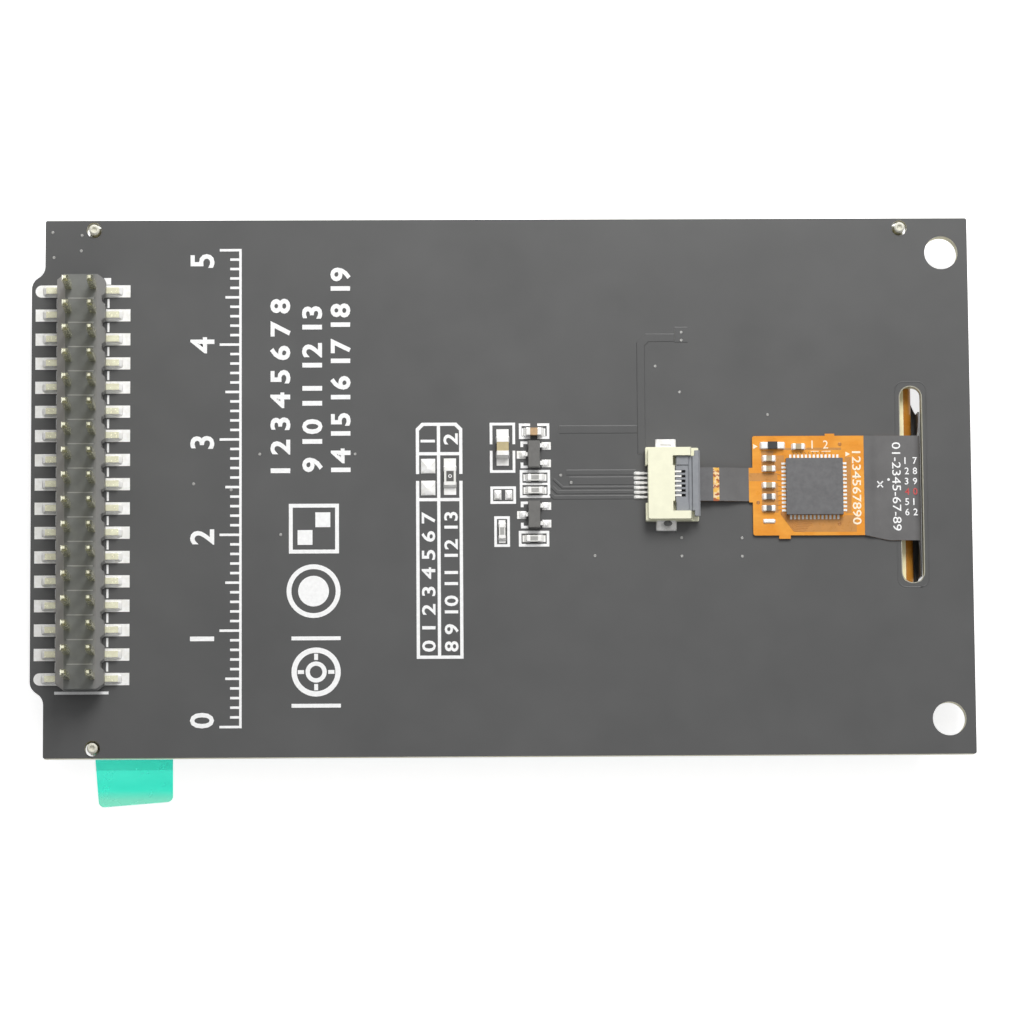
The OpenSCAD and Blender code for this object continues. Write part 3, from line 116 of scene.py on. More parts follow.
class Shader:
    """A Principled material with small helpers for its procedural detail."""

    def __init__(self, name):
        self.material = bpy.data.materials.new(name)
        self.material.use_nodes = True
        self.tree = self.material.node_tree
        self.bsdf = self.tree.nodes["Principled BSDF"]
        self.where = self.add("ShaderNodeTexCoord").outputs["Object"]

    def add(self, kind, **settings):
        node = self.tree.nodes.new(kind)
        for key, value in settings.items():
            setattr(node, key, value)
        return node

    def link(self, source, target):
        self.tree.links.new(source, target)

    def set(self, **values):
        for key, value in values.items():
            self.bsdf.inputs[key.replace("_", " ")].default_value = value

    def noise(self, size, detail=3.0, rough=0.55, stretch=None):
        """Noise whose largest cells measure about size millimetres."""
        node = self.add("ShaderNodeTexNoise")
        node.inputs["Scale"].default_value = 1 / (size * MM)
        node.inputs["Detail"].default_value = detail
        node.inputs["Roughness"].default_value = rough
        place = self.where
        if stretch:
            mapping = self.add("ShaderNodeMapping")
            mapping.inputs["Scale"].default_value = stretch
            self.link(place, mapping.inputs["Vector"])
            place = mapping.outputs["Vector"]
        self.link(place, node.inputs["Vector"])
        return node.outputs["Fac"]

    def ramp(self, value, low, high, to_low=0.0, to_high=1.0):
        node = self.add("ShaderNodeMapRange")
        node.inputs["From Min"].default_value = low
        node.inputs["From Max"].default_value = high
        node.inputs["To Min"].default_value = to_low
        node.inputs["To Max"].default_value = to_high
        self.link(value, node.inputs["Value"])
        return node.outputs["Result"]

    def clouds(self, size, low=0.0, high=1.0, edges=(0.3, 0.7), detail=3.0, stretch=None):
        """Clouds of a size in millimetres that drift from low to high; near edges leave plain patches."""
        return self.ramp(self.noise(size, detail, stretch=stretch), *edges, low, high)

    def mix(self, factor, first, second):
        """Mixes two colours; each is a colour or a socket."""
        node = self.add("ShaderNodeMix", data_type="RGBA")
        self.link(factor, node.inputs["Factor"])
        for socket, value in ((node.inputs[6], first), (node.inputs[7], second)):
            if isinstance(value, (tuple, list)):
                socket.default_value = (*value[:3], 1)
            else:
                self.link(value, socket)
        return node.outputs[2]

    def math(self, operation, first, second):
        node = self.add("ShaderNodeMath", operation=operation)
        for socket, value in zip(node.inputs, (first, second)):
            if isinstance(value, (int, float)):
                socket.default_value = value
            else:
                self.link(value, socket)
        return node.outputs["Value"]

    def axis(self, source, name):
        split = self.add("ShaderNodeSeparateXYZ")
        self.link(source, split.inputs[0])
        return split.outputs[name]

    def past(self, x):
        """1 past an X in millimetres, 0 before it."""
        return self.math("GREATER_THAN", self.axis(self.where, "X"), x * MM)

    def before(self, x):
        """1 before an X in millimetres, 0 past it."""
        return self.math("LESS_THAN", self.axis(self.where, "X"), x * MM)

    def side_faces(self):
        """1 on faces that stand upright, 0 on level ones."""
        normal = self.add("ShaderNodeNewGeometry").outputs["True Normal"]
        up = self.math("ABSOLUTE", self.axis(normal, "Z"), 0)
        return self.ramp(up, 0.5, 0.7, 1, 0)

    def bump(self, heights):
        """Chains (height socket, depth in millimetres) pairs into the normal."""
        normal = None
        for height, depth in heights:
            node = self.add("ShaderNodeBump")
            node.inputs["Distance"].default_value = depth * MM
            self.link(height, node.inputs["Height"])
            if normal:
                self.link(normal, node.inputs["Normal"])
            normal = node.outputs["Normal"]
        self.link(normal, self.bsdf.inputs["Normal"])

    def colour(self, socket):
        self.link(socket, self.bsdf.inputs["Base Color"])

    def roughness(self, socket):
        self.link(socket, self.bsdf.inputs["Roughness"])


ROUGH_SPREAD = 0.06
LEAST_ROUGH = 0.02


def shade(colour, factor):
    return tuple(min(1.0, c * factor) for c in colour)


def finish(name, colour, rough, spread=0.08, cloud=2.0, grain=0.15, depth=0.003, metal=0.0, coat=0.0):
    """A surface with drifting colour, uneven gloss and a fine grain."""
    s = Shader(name)
    s.colour(s.mix(s.clouds(cloud), shade(colour, 1 - spread), shade(colour, 1 + spread)))
    s.roughness(s.clouds(cloud * 0.4, max(LEAST_ROUGH, rough - ROUGH_SPREAD), rough + ROUGH_SPREAD))
    s.bump([(s.noise(grain, 2.0), depth)])
    s.set(Metallic=metal, Coat_Weight=coat)
    return s.material


def board_material():
    """Satin black mask over the laminate, with the laminate's layers on the cut edges."""
    s = Shader("black_board")
    mask = s.mix(s.clouds(9.0, edges=(0.25, 0.75)), (0.077, 0.078, 0.079), (0.092, 0.093, 0.094))
    layers = s.ramp(s.noise(0.5, 3.0, 0.6, stretch=(0.25, 0.25, 5.0)), 0.35, 0.65)
    laminate = s.mix(layers, (0.42, 0.38, 0.20), (0.78, 0.74, 0.50))
    s.colour(s.mix(s.side_faces(), mask, laminate))
    s.roughness(s.clouds(3.0, 0.36, 0.44))
    s.bump([(s.noise(0.6, 2.0, 0.5), 0.004), (s.noise(0.08, 2.0), 0.001)])
    return s.material


def solder_material(name="solder", colour=(0.99, 0.985, 0.95), rough=0.36, bump_size=0.6, bump=0.003,
                    metal=0.3, level_metal=None):
    """Bright metal with slow waves.

    A low share of metal reads as frosted. level_metal is the share on level faces, where that differs.
    """
    s = Shader(name)
    s.colour(s.mix(s.clouds(0.6, edges=(0.35, 0.65)), shade(colour, 0.9), shade(colour, 1.08)))
    s.roughness(s.clouds(0.25, rough - ROUGH_SPREAD, rough + 0.1))
    s.bump([(s.noise(bump_size, 2.0), bump), (s.noise(0.08, 2.0), 0.0004)])
    s.set(Metallic=metal)
    if level_metal is not None:
        s.link(s.ramp(s.side_faces(), 0, 1, level_metal, metal), s.bsdf.inputs["Metallic"])
    return s.material


def clear_material(name, colour, alpha, rough, edge_colour, edge_alpha):
    """A clear sheet: see-through on its faces, with more colour along its edges."""
    s = Shader(name)
    edge = s.side_faces()
    s.colour(s.mix(edge, colour, edge_colour))
    s.link(s.ramp(edge, 0, 1, alpha, edge_alpha), s.bsdf.inputs["Alpha"])
    s.roughness(s.clouds(6.0, rough, rough + 0.05))
    s.bump([(s.noise(9.0, 2.0), 0.02)])
    return s.material


def amber_material(name="amber_film", bare=None, tone=0.84, dark_from=None):
    """Amber film over copper.

    bare is a stretch of X where the film is off and the copper is blotched.
    dark_from is the X past which the film is dark.
    """
    s = Shader(name)
    broad = s.clouds(3.0, edges=(0.4, 0.6), detail=2.0)
    fine = s.clouds(0.35, edges=(0.35, 0.65), detail=2.0, stretch=(0.3, 1.0, 1.0))
    base = s.mix(broad, shade((0.93, 0.36, 0.043), tone), shade((1.0, 0.44, 0.065), tone))
    base = s.mix(s.math("MULTIPLY", fine, 0.3), base, shade((0.80, 0.29, 0.035), tone))
    if bare:
        inside = s.math("MULTIPLY", s.past(bare[0]), s.before(bare[1]))
        blotch = s.mix(s.clouds(0.55, edges=(0.42, 0.54), detail=2.0), (0.90, 0.70, 0.44), (0.86, 0.50, 0.10))
        blotch = s.mix(s.clouds(0.4, edges=(0.53, 0.6), detail=2.0), blotch, (0.42, 0.13, 0.06))
        base = s.mix(inside, base, blotch)
    if dark_from:
        base = s.mix(s.past(dark_from), base, (0.03, 0.03, 0.031))
    s.colour(base)
    s.roughness(s.clouds(1.5, 0.24, 0.36))
    s.bump([(s.noise(1.2, 2.0), 0.01), (s.noise(0.12, 2.0), 0.0015)])
    s.set(Specular_IOR_Level=0.25)
    return s.material


def pull_tab_material():
    """Clear green film that lets the light of the ground through, with a painted highlight: paler at its free
    end, where it bends.
    """
    s = Shader("green_film")
    lip_start, lip_end = -31.2, -32.2
    body = s.mix(s.clouds(3.0, stretch=(0.4, 1.5, 1.0)), (0.055, 0.78, 0.60), (0.085, 0.84, 0.66))
    # painted highlight: the free end is coloured paler for the light on its bend
    lip = s.ramp(s.axis(s.where, "Y"), lip_start * MM, lip_end * MM)
    s.colour(s.mix(lip, body, (0.25, 0.75, 0.58)))
    s.roughness(s.clouds(2.0, 0.2, 0.3))
    s.set(Transmission_Weight=0.85, IOR=1.2)
    return s.material


def header_material():
    """Header plastic with a painted highlight: paler along its two long rims, where the bevelled edges catch
    the light, than between the pins.
    """
    s = Shader("header_plastic")
    low, high = box("header_housing")
    outer_rim, inner_rim = 0.87, 1.05
    base = s.mix(s.clouds(0.9), (0.136, 0.141, 0.138), (0.160, 0.166, 0.162))
    # painted highlight: the bevelled rims are coloured paler in place of the light they catch
    base = s.mix(s.before(low.x + outer_rim), base, (0.275, 0.266, 0.260))
    s.colour(s.mix(s.past(high.x - inner_rim), base, (0.175, 0.174, 0.172)))
    s.roughness(s.clouds(0.36, 0.37, 0.49))
    s.bump([(s.noise(0.07, 2.0), 0.005)])
    return s.material


def coat_material():
    """Resistor glaze: light grey on the small parts, near black on the link by the cable table."""
    s = Shader("resistor_glaze")
    link_end, parts_start = -4.2, -4.0
    light = s.ramp(s.axis(s.where, "X"), link_end * MM, parts_start * MM)
    s.colour(s.mix(light, (0.11, 0.108, 0.105), s.mix(s.clouds(0.3), (0.34, 0.34, 0.33), (0.44, 0.44, 0.43))))
    s.roughness(s.clouds(0.2, 0.28, 0.4))
    return s.material


MATERIALS = {
    # the panel's layers
    "clear_film": clear_material("clear_film", (0.9, 0.94, 0.97), 0.12, 0.06, (0.85, 0.9, 0.93), 0.5),
    "green_film": pull_tab_material(),
    "cover_glass": clear_material(
        "cover_glass", (0.85, 0.92, 0.92), 0.08, 0.02, (0.45, 0.62, 0.58), 0.75),
    "border_ink": finish("border_ink", (0.012, 0.012, 0.014), 0.45, 0.1, 4.0, 0.2, 0.001),
    "clear_adhesive": clear_material(
        "clear_adhesive", (0.92, 0.93, 0.93), 0.05, 0.1, (0.8, 0.82, 0.8), 0.6),
    "sensor_glass": clear_material(
        "sensor_glass", (0.82, 0.9, 0.9), 0.08, 0.03, (0.40, 0.58, 0.54), 0.8),
    "foam_tape": finish("foam_tape", (0.035, 0.035, 0.036), 0.85, 0.15, 0.8, 0.12, 0.03),
    "polarizer": finish("polarizer", (0.018, 0.020, 0.024), 0.12, 0.1, 12.0, 0.5, 0.0005),
    "cell_glass": finish("cell_glass", (0.04, 0.05, 0.05), 0.08, 0.1, 8.0, 0.5, 0.0005),
    "silicon": finish("silicon", (0.22, 0.23, 0.26), 0.25, 0.1, 1.0, 0.1, 0.001, metal=0.6),
    "black_tape": finish("black_tape", (0.015, 0.015, 0.015), 0.55, 0.1, 2.0, 0.2, 0.002),
    "diffuser_film": finish("diffuser_film", (0.88, 0.89, 0.9), 0.5, 0.03, 5.0, 0.15, 0.002),
    "guide_plastic": finish("guide_plastic", (0.86, 0.9, 0.9), 0.12, 0.03, 6.0, 0.4, 0.001, coat=0.4),
    "reflector_film": finish("reflector_film", (0.86, 0.86, 0.85), 0.35, 0.03, 8.0, 0.6, 0.003, coat=0.2),
    "frame_plastic": finish("frame_plastic", (0.68, 0.67, 0.58), 0.38, 0.05, 2.0, 0.12, 0.003),
    "lamp_resin": finish("lamp_resin", (0.86, 0.80, 0.40), 0.3, 0.06, 0.8, 0.1, 0.002, coat=0.5),
    "white_foam": finish("white_foam", (0.78, 0.78, 0.76), 0.8, 0.06, 1.5, 0.15, 0.02),
    # the board
    "board_mask": board_material(),
    "solder": solder_material(),
    "white_ink": finish("white_ink", (0.90, 0.905, 0.91), 0.5, 0.05, 0.4, 0.06, 0.006),
    "via_metal": solder_material("via_metal", (0.36, 0.36, 0.35), 0.5, metal=0.3),
    "bare_laminate": finish("bare_laminate", (0.38, 0.37, 0.30), 0.5, 0.12, 0.5, 0.1, 0.004),
    # the header and the socket
    "header_plastic": header_material(),
    # painted highlight: the paler grey of the mould lines stands in for the light on the cell edges
    "header_ridge_glint": finish("header_ridge_glint", (0.30, 0.30, 0.295), 0.45, 0.08, 0.6, 0.06, 0.003),
    "pin_metal": solder_material("pin_metal", (0.98, 0.95, 0.70), 0.2, 1.5, 0.001, 1.0, 0.35),
    "socket_plastic": finish("socket_plastic", (0.86, 0.855, 0.66), 0.42, 0.03, 1.0, 0.08, 0.004),
    "contact_metal": solder_material("contact_metal", (0.93, 0.92, 0.90), 0.34, 1.0, 0.0015, 0.4),
    "lever_plastic": finish("lever_plastic", (0.258, 0.270, 0.292), 0.45, 0.06, 0.7, 0.07, 0.004),
    # painted shade: the dark plate laid on the socket's lower tab
    "window_painted_shade": finish("window_painted_shade", (0.11, 0.11, 0.11), 0.35, 0.5, 0.25, 0.2, 0.002, metal=0.3),
    # the cables
    "flex_amber": amber_material(),
    "cable_film": finish("cable_film", (0.125, 0.123, 0.124), 0.42, 0.1, 2.5, 0.3, 0.004),
    "tail_plastic": finish("tail_plastic", (0.125, 0.125, 0.13), 0.45, 0.1, 0.8, 0.1, 0.003),
    "plate_plastic": finish("plate_plastic", (0.42, 0.26, 0.08), 0.5, 0.1, 1.0, 0.15, 0.004),
    # painted highlight: the pale strip on the display flex, where its bend catches the light
    "painted_glint_film": finish("painted_glint_film", (1.0, 0.90, 0.58), 0.4, 0.05, 1.0, 0.2, 0.002),
    "red_ink": finish("red_ink", (0.55, 0.07, 0.07), 0.5, 0.08, 0.3, 0.06, 0.003),
    "cream_ink": finish("cream_ink", (0.95, 0.84, 0.66), 0.5, 0.05, 0.4, 0.06, 0.004),
    "flex_copper": finish("flex_copper", (0.46, 0.19, 0.045), 0.3, 0.1, 0.5, 0.1, 0.002),
    "flex_field": finish("flex_field", (0.55, 0.25, 0.062), 0.3, 0.08, 1.2, 0.2, 0.002),
    # the small parts
    "chip_resin": finish("chip_resin", (0.128, 0.128, 0.133), 0.5, 0.12, 0.5, 0.05, 0.006),
    "ceramic_tan": finish("ceramic_tan", (0.44, 0.35, 0.22), 0.4, 0.12, 0.35, 0.06, 0.004),
    "ceramic_orange": finish("ceramic_orange", (0.50, 0.33, 0.18), 0.4, 0.12, 0.3, 0.06, 0.004),
    "diode_resin": finish("diode_resin", (0.035, 0.035, 0.036), 0.4, 0.1, 0.3, 0.05, 0.004),
    "alumina": finish("alumina", (0.78, 0.78, 0.75), 0.5, 0.05, 0.3, 0.05, 0.003),
    "resistor_coat": finish("resistor_coat", (0.16, 0.155, 0.15), 0.3, 0.12, 0.3, 0.06, 0.003),
}

# nodes whose finish differs a little from the others of their slot
OWN = {
    "transistors": finish("transistor_resin", (0.142, 0.140, 0.135), 0.5, 0.08, 0.5, 0.05, 0.005),
    "supply_capacitor": finish("supply_ceramic", (0.49, 0.41, 0.23), 0.4, 0.08, 0.35, 0.06, 0.004),
    "resistor_coats": coat_material(),
    "touch_flex": amber_material("amber_flex", (21.9, 22.65), dark_from=42.4),
    # painted shade: the display flex under the board is coloured darker for the shade that falls on it in the
    # slot
    "display_flex": amber_material("slot_amber_painted_shade", tone=0.48),
    "controller_leads": solder_material("lead_metal", (0.97, 0.95, 0.90), 0.4, metal=0.12),
}

for row in frame["record"]["subparts"]:
    mesh = nodes[row["node"]].data
    mesh.materials.clear()
    mesh.materials.append(OWN.get(row["node"], MATERIALS[row["material_slot"]]))


# ---------- building blocks: outlines, skins, ribbons and characters ----------

def add_piece(name, bm, slot, smooth=False):
    """Turns a bmesh drawn in millimetres into a piece that rides on the module."""
    bmesh.ops.recalc_face_normals(bm, faces=bm.faces)
    bmesh.ops.scale(bm, vec=(MM, MM, MM), verts=bm.verts)
    mesh = bpy.data.meshes.new(name)
    bm.to_mesh(mesh)
    bm.free()
    if smooth:
        for polygon in mesh.polygons:
            polygon.use_smooth = True
    piece = bpy.data.objects.new(name, mesh)
    bpy.context.scene.collection.objects.link(piece)
    mesh.materials.append(MATERIALS[slot])
    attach(piece, BODY)
    return piece


def round_box(x0, y0, x1, y1, r, steps=3):
    """A rectangle with round corners, counter-clockwise."""
    r = min(r, (x1 - x0) / 2 - 1e-4, (y1 - y0) / 2 - 1e-4)
    corners = ((x1 - r, y0 + r, -90), (x1 - r, y1 - r, 0), (x0 + r, y1 - r, 90), (x0 + r, y0 + r, 180))
    points = []
    for cx, cy, start in corners:
        for i in range(steps + 1):
            a = math.radians(start + 90 * i / steps)
            points.append((cx + r * math.cos(a), cy + r * math.sin(a)))
    return points


def circle(cx, cy, r, count=16):
    turn = 2 * math.pi / count
    return [(cx + r * math.cos(i * turn), cy + r * math.sin(i * turn)) for i in range(count)]


def join_loops(bm, pairs):
    """Skins the gap between each pair of loops of vertices."""
    for a, b in pairs:
        for i in range(len(a)):
            j = (i + 1) % len(a)
            bm.faces.new((a[i], a[j], b[j], b[i]))


def add_rings(bm, rings):
    """Skins a stack of rings of points and closes both ends."""
    loops = [[bm.verts.new(p) for p in ring] for ring in rings]
    join_loops(bm, zip(loops, loops[1:]))
    bm.faces.new(loops[0][::-1])
    bm.faces.new(loops[-1])


def add_loop(bm, rings):
    """Skins a stack of rings of points that closes on itself, such as a flat ring or an apron."""
    loops = [[bm.verts.new(p) for p in ring] for ring in rings]
    join_loops(bm, zip(loops, loops[1:] + loops[:1]))


def plate(bm, points, z, height):
    """A flat plate with the given outline."""
    add_rings(bm, [[(x, y, h) for x, y in points] for h in (z, z + height)])


def bar(bm, x0, y0, x1, y1, z, height=INK):
    """A flat rectangle, or a block where height is large."""
    plate(bm, [(x0, y0), (x1, y0), (x1, y1), (x0, y1)], z, height)


def ring(bm, cx, cy, outer, inner, z, height, count=40):
    """A flat ring."""
    profile = ((outer, z), (outer, z + height), (inner, z + height), (inner, z))
    add_loop(bm, [[(x, y, h) for x, y in circle(cx, cy, r, count)] for r, h in profile])


def via(bm, x, y, z, profile):
    """A small joined hole: a ring of metal round a filled middle, from (radius, height) pairs."""
    add_rings(bm, [[(px, py, z + h) for px, py in circle(x, y, r, 12)] for r, h in profile])


def ribbon(bm, points, width, z0, height, slope=0.04):
    """A low raised line along points, with sloped sides."""
    sharpest = 0.5
    left, right = [], []
    last = len(points) - 1
    for i, p in enumerate(points):
        here = Vector(p)
        back = (here - Vector(points[max(i - 1, 0)])).normalized() if i else None
        ahead = (Vector(points[min(i + 1, last)]) - here).normalized() if i < last else None
        back, ahead = back or ahead, ahead or back
        side = Vector((-(back + ahead).y, (back + ahead).x)).normalized()
        reach = width / 2 / max(sharpest, side.dot(Vector((-back.y, back.x))))
        left.append((here + side * reach, side))
        right.append((here - side * reach, -side))
    rings = []
    for (a, na), (b, nb) in zip(left, right):
        rings.append([
            (a.x, a.y, z0), (a.x - na.x * slope, a.y - na.y * slope, z0 + height),
            (b.x - nb.x * slope, b.y - nb.y * slope, z0 + height), (b.x, b.y, z0),
        ])
    add_rings(bm, rings)


def add_text(bm, text, at, height, z, turn=0.0, width=None, thick=INK, weight=0.02):
    """Adds plain characters to a bmesh: at is their lower left corner before the turn."""
    curve = bpy.data.curves.new("characters", "FONT")
    curve.body = text
    curve.offset = weight
    curve.extrude = 0.5
    curve.resolution_u = 3
    holder = bpy.data.objects.new("characters", curve)
    bpy.context.scene.collection.objects.link(holder)
    evaluated = holder.evaluated_get(bpy.context.evaluated_depsgraph_get())
    mesh = bpy.data.meshes.new_from_object(evaluated)
    bpy.data.objects.remove(holder)
    xs = [v.co.x for v in mesh.vertices]
    ys = [v.co.y for v in mesh.vertices]
    grow_y = height / (max(ys) - min(ys))
    grow_x = width / (max(xs) - min(xs)) if width else grow_y
    to_corner = Matrix.Translation((-min(xs), -min(ys), 0))
    grow = Matrix.Diagonal((grow_x, grow_y, thick, 1))
    rotate = Matrix.Rotation(math.radians(turn), 4, "Z")
    mesh.transform(Matrix.Translation((at[0], at[1], z + thick / 2)) @ rotate @ grow @ to_corner)
    bm.from_mesh(mesh)
    bpy.data.meshes.remove(mesh)


# ---------- solder ----------

FILLET_STEPS = 4
FILLET_ROUND = 0.03
TOE_ROUND = 0.05
PILLOW_STAGES = ((0, 0), (0.06, 0.25), (0.5, 0.7), (0.85, 0.97), (1, 1))
PILLOW_RIDGE = 0.06
PILLOW_SHIFT = 0.14
FOOT_ROUND, RIDGE_ROUND = 0.12, 0.02


def fillet(bm, foot, spread, z0, z1, toe=(0, 0), power=2.2):
    """Solder drawn up round a foot; toe stretches it along one way."""
    x0, y0, x1, y1 = grown(foot, spread)
    low = (x0 + min(0, toe[0]), y0 + min(0, toe[1]), x1 + max(0, toe[0]), y1 + max(0, toe[1]))
    rings = []
    for k in range(FILLET_STEPS + 1):
        t = k / FILLET_STEPS
        radius = spread * (1 - t) + FILLET_ROUND + TOE_ROUND * (1 - t)
        rect = [a + (b - a) * t for a, b in zip(low, foot)]
        z = z0 + (z1 - z0) * t ** power
        rings.append([(x, y, z) for x, y in round_box(*rect, radius)])
    add_rings(bm, rings)


def pillow(bm, rect, z, height):
    """Solder left on an empty pad: four sides that rise to a short ridge."""
    x0, y0, x1, y1 = rect
    across, along = x1 - x0, y1 - y0
    cx, cy = (x0 + x1) / 2, (y0 + y1) / 2 - along * PILLOW_SHIFT
    half_x = max(0, across - along) / 2 + PILLOW_RIDGE
    half_y = max(0, along - across) / 2 + PILLOW_RIDGE
    top = (cx - half_x, cy - half_y, cx + half_x, cy + half_y)
    rings = []
    for t, h in PILLOW_STAGES:
        here = [a + (b - a) * t for a, b in zip(rect, top)]
        outline = round_box(*here, FOOT_ROUND * (1 - t) + RIDGE_ROUND, 2)
        rings.append([(x, y, z + height * h) for x, y in outline])
    add_rings(bm, rings)


def header_solder():
    """A fillet round each foot of the header's pins."""
    bm = bmesh.new()
    half, tuck, spread, rise, toe = 0.32, 0.25, 0.2, 0.42, 0.18
    low_rim, high_rim = box("header_housing")
    for node, side, rim in (("header_pins_outer", -1, low_rim.x), ("header_pins_inner", 1, high_rim.x)):
        for low, high in islands(node):
            end = low.x if side < 0 else high.x
            y = (low.y + high.y) / 2
            x0, x1 = sorted((rim - side * tuck, end))
            fillet(bm, (x0, y - half, x1, y + half), spread, PAD_TOP, PAD_TOP + rise, (side * toe, 0), 1.8)
    return add_piece("header_solder", bm, "solder", smooth=True)


def end_fillets(bm, ends, bodies, toe, side, z, share):
    """Fillets on the outer faces of chip parts' metal ends."""
    centres = [middle(b) for node in bodies for b in islands(node)]
    for low, high in islands(ends):
        here = (low + high) / 2
        away = here - min(centres, key=lambda c: (c - here).length)
        along_x = abs(away.x) > abs(away.y)
        way = (math.copysign(toe, away.x), 0) if along_x else (0, math.copysign(toe, away.y))
        fillet(bm, flat_rect((low, high)), side, z, low.z + (high.z - low.z) * share, way, 2.0)


def part_solder():
    """Solder at the capacitors, the resistors and the transistors' leads."""
    bm = bmesh.new()
    end_fillets(bm, "capacitor_ends", ("supply_capacitor", "bypass_capacitor"), 0.22, 0.08, PAD_TOP, 0.7)
    end_fillets(bm, "resistor_ends", ("resistor_bodies",), 0.2, 0.06, PAD_TOP, 0.8)
    foot, spread, rise, toe = 0.42, 0.17, 0.13, 0.08
    centres = [middle(b) for b in islands("transistors")]
    for low, high in islands("transistor_leads"):
        here = (low + high) / 2
        body = min(centres, key=lambda c: (c - here).length)
        out = math.copysign(1, here.x - body.x)
        end = high.x if out > 0 else low.x
        x0, x1 = sorted((end - out * foot, end))
        fillet(bm, (x0, low.y, x1, high.y), spread, PAD_TOP, PAD_TOP + rise, (out * toe, 0))
    return add_piece("part_solder", bm, "solder", smooth=True)


def flex_solder():
    """Solder at the small parts on the amber field."""
    bm = bmesh.new()
    bodies = ("flex_diode", "flex_capacitors", "flex_resistors")
    end_fillets(bm, "flex_part_ends", bodies, 0.12, 0.03, FIELD_TOP, 0.6)
    return add_piece("flex_solder", bm, "solder", smooth=True)


def bare_pads():
    """Pads with no part: those not under any end, lead or tab."""
    covered = []
    for node in ("header_pins_outer", "header_pins_inner", "capacitor_ends", "resistor_ends",
                 "transistor_leads", "connector_contacts", "connector_tabs"):
        covered += [flat_rect(b) for b in islands(node)]
    bare = []
    for bounds in islands("board_pads"):
        x0, y0, x1, y1 = flat_rect(bounds)
        if not any(a0 < x1 and a1 > x0 and b0 < y1 and b1 > y0 for a0, b0, a1, b1 in covered):
            bare.append((x0, y0, x1, y1))
    return bare


def pad_solder():
    """Solder on the pads that carry no part."""
    bm = bmesh.new()
    inset, height = 0.02, 0.2
    for rect in bare_pads():
        pillow(bm, grown(rect, -inset), PAD_TOP, height)
    return add_piece("pad_solder", bm, "solder")


def connector_solder():
    """Toes under the contacts' tails, and a low apron round each side tab."""
    bm = bmesh.new()
    tail, spread, rise, toe = 0.45, 0.09, 0.14, 0.1
    apron_reach, apron_rise, inner_round, outer_round = 0.14, 0.12, 0.1, 0.2
    for low, high in islands("connector_contacts"):
        fillet(bm, (low.x, low.y, low.x + tail, high.y), spread, PAD_TOP, PAD_TOP + rise, (-toe, 0))
    for bounds in islands("connector_tabs"):
        tab = flat_rect(bounds)
        foot, skirt = round_box(*tab, inner_round), round_box(*grown(tab, apron_reach), outer_round)
        apron = ((skirt, PAD_TOP), (foot, PAD_TOP + apron_rise), (foot, PAD_TOP))
        add_loop(bm, [[(x, y, z) for x, y in points] for points, z in apron])
    return add_piece("connector_solder", bm, "solder", smooth=True)


def tab_window():
    """A dark oval on the socket's lower tab: painted shade for the shaded hollow of the tab's window."""
    bm = bmesh.new()
    low, high = islands("connector_tabs")[-1]
    half_x, half_y, thick = 0.46, 0.3, 0.006
    x, y = (low.x + high.x) / 2 + 0.1, low.y + 0.56
    oval = [(x + half_x * dx, y + half_y * dy) for dx, dy in circle(0, 0, 1, 20)]
    plate(bm, oval, high.z, thick)
    return add_piece("tab_window", bm, "window_painted_shade")


def bridge_solder():
    """A long drop of solder over the two bare pads at the foot of the amber field."""
    bm = bmesh.new()
    half_x, half_y = 0.65, 0.24
    x, y = FIELD_LOW.x + 1.68, FIELD_LOW.y + 1.5
    pillow(bm, (x - half_x, y - half_y, x + half_x, y + half_y), FIELD_TOP, 0.16)
    return add_piece("bridge_solder", bm, "solder", smooth=True)


# ---------- header: webs in the notches, and the mould lines between the cells in a paler grey as a painted highlight ---

CELLS = 17
BEVEL_W, BEVEL_H = 0.8, 0.25


def cell_joints():
    """The Y of each joint between two cells of the header, in millimetres."""
    low, high = box("header_housing")
    step = (high.y - low.y) / CELLS
    return [low.y + step * i for i in range(1, CELLS)]


def header_webs():
    """Plastic that closes the outer notches and leaves the inner ones shallow."""
    bm = bmesh.new()
    low, high = box("header_housing")
    top, foot = high.z - 0.005, low.z + 0.006
    depth = 1.0
    for y in cell_joints():
        for edge, side, inset, half in ((low.x, 1, 0.02, 0.6), (high.x, -1, 0.34, 0.5)):
            drop = BEVEL_H * max(0.0, 1 - inset / BEVEL_W)
            level = max(inset, BEVEL_W)
            profile = ((depth, foot), (inset, foot), (inset, top - drop), (level, top), (depth, top))
            ends = (y - half, y + half)
            add_rings(bm, [[(edge + side * along, end, z) for along, z in profile] for end in ends])
    return add_piece("header_webs", bm, "header_plastic")


def header_lines():
    """The fine mould line across the header between two pairs of pins, in a paler grey that is a painted
    highlight of the light it catches.
    """
    bm = bmesh.new()
    low, high = box("header_housing")
    start, end = low.x + 1.15, high.x - 1.1
    for y in cell_joints():
        ribbon(bm, [(start, y), (end, y)], 0.12, high.z, 0.02, 0.03)
    return add_piece("header_lines", bm, "header_ridge_glint")


# ---------- copper under the mask, and the holes that join its sides ----------

TRACK = 0.05
TRACK_SLOPE = 0.1
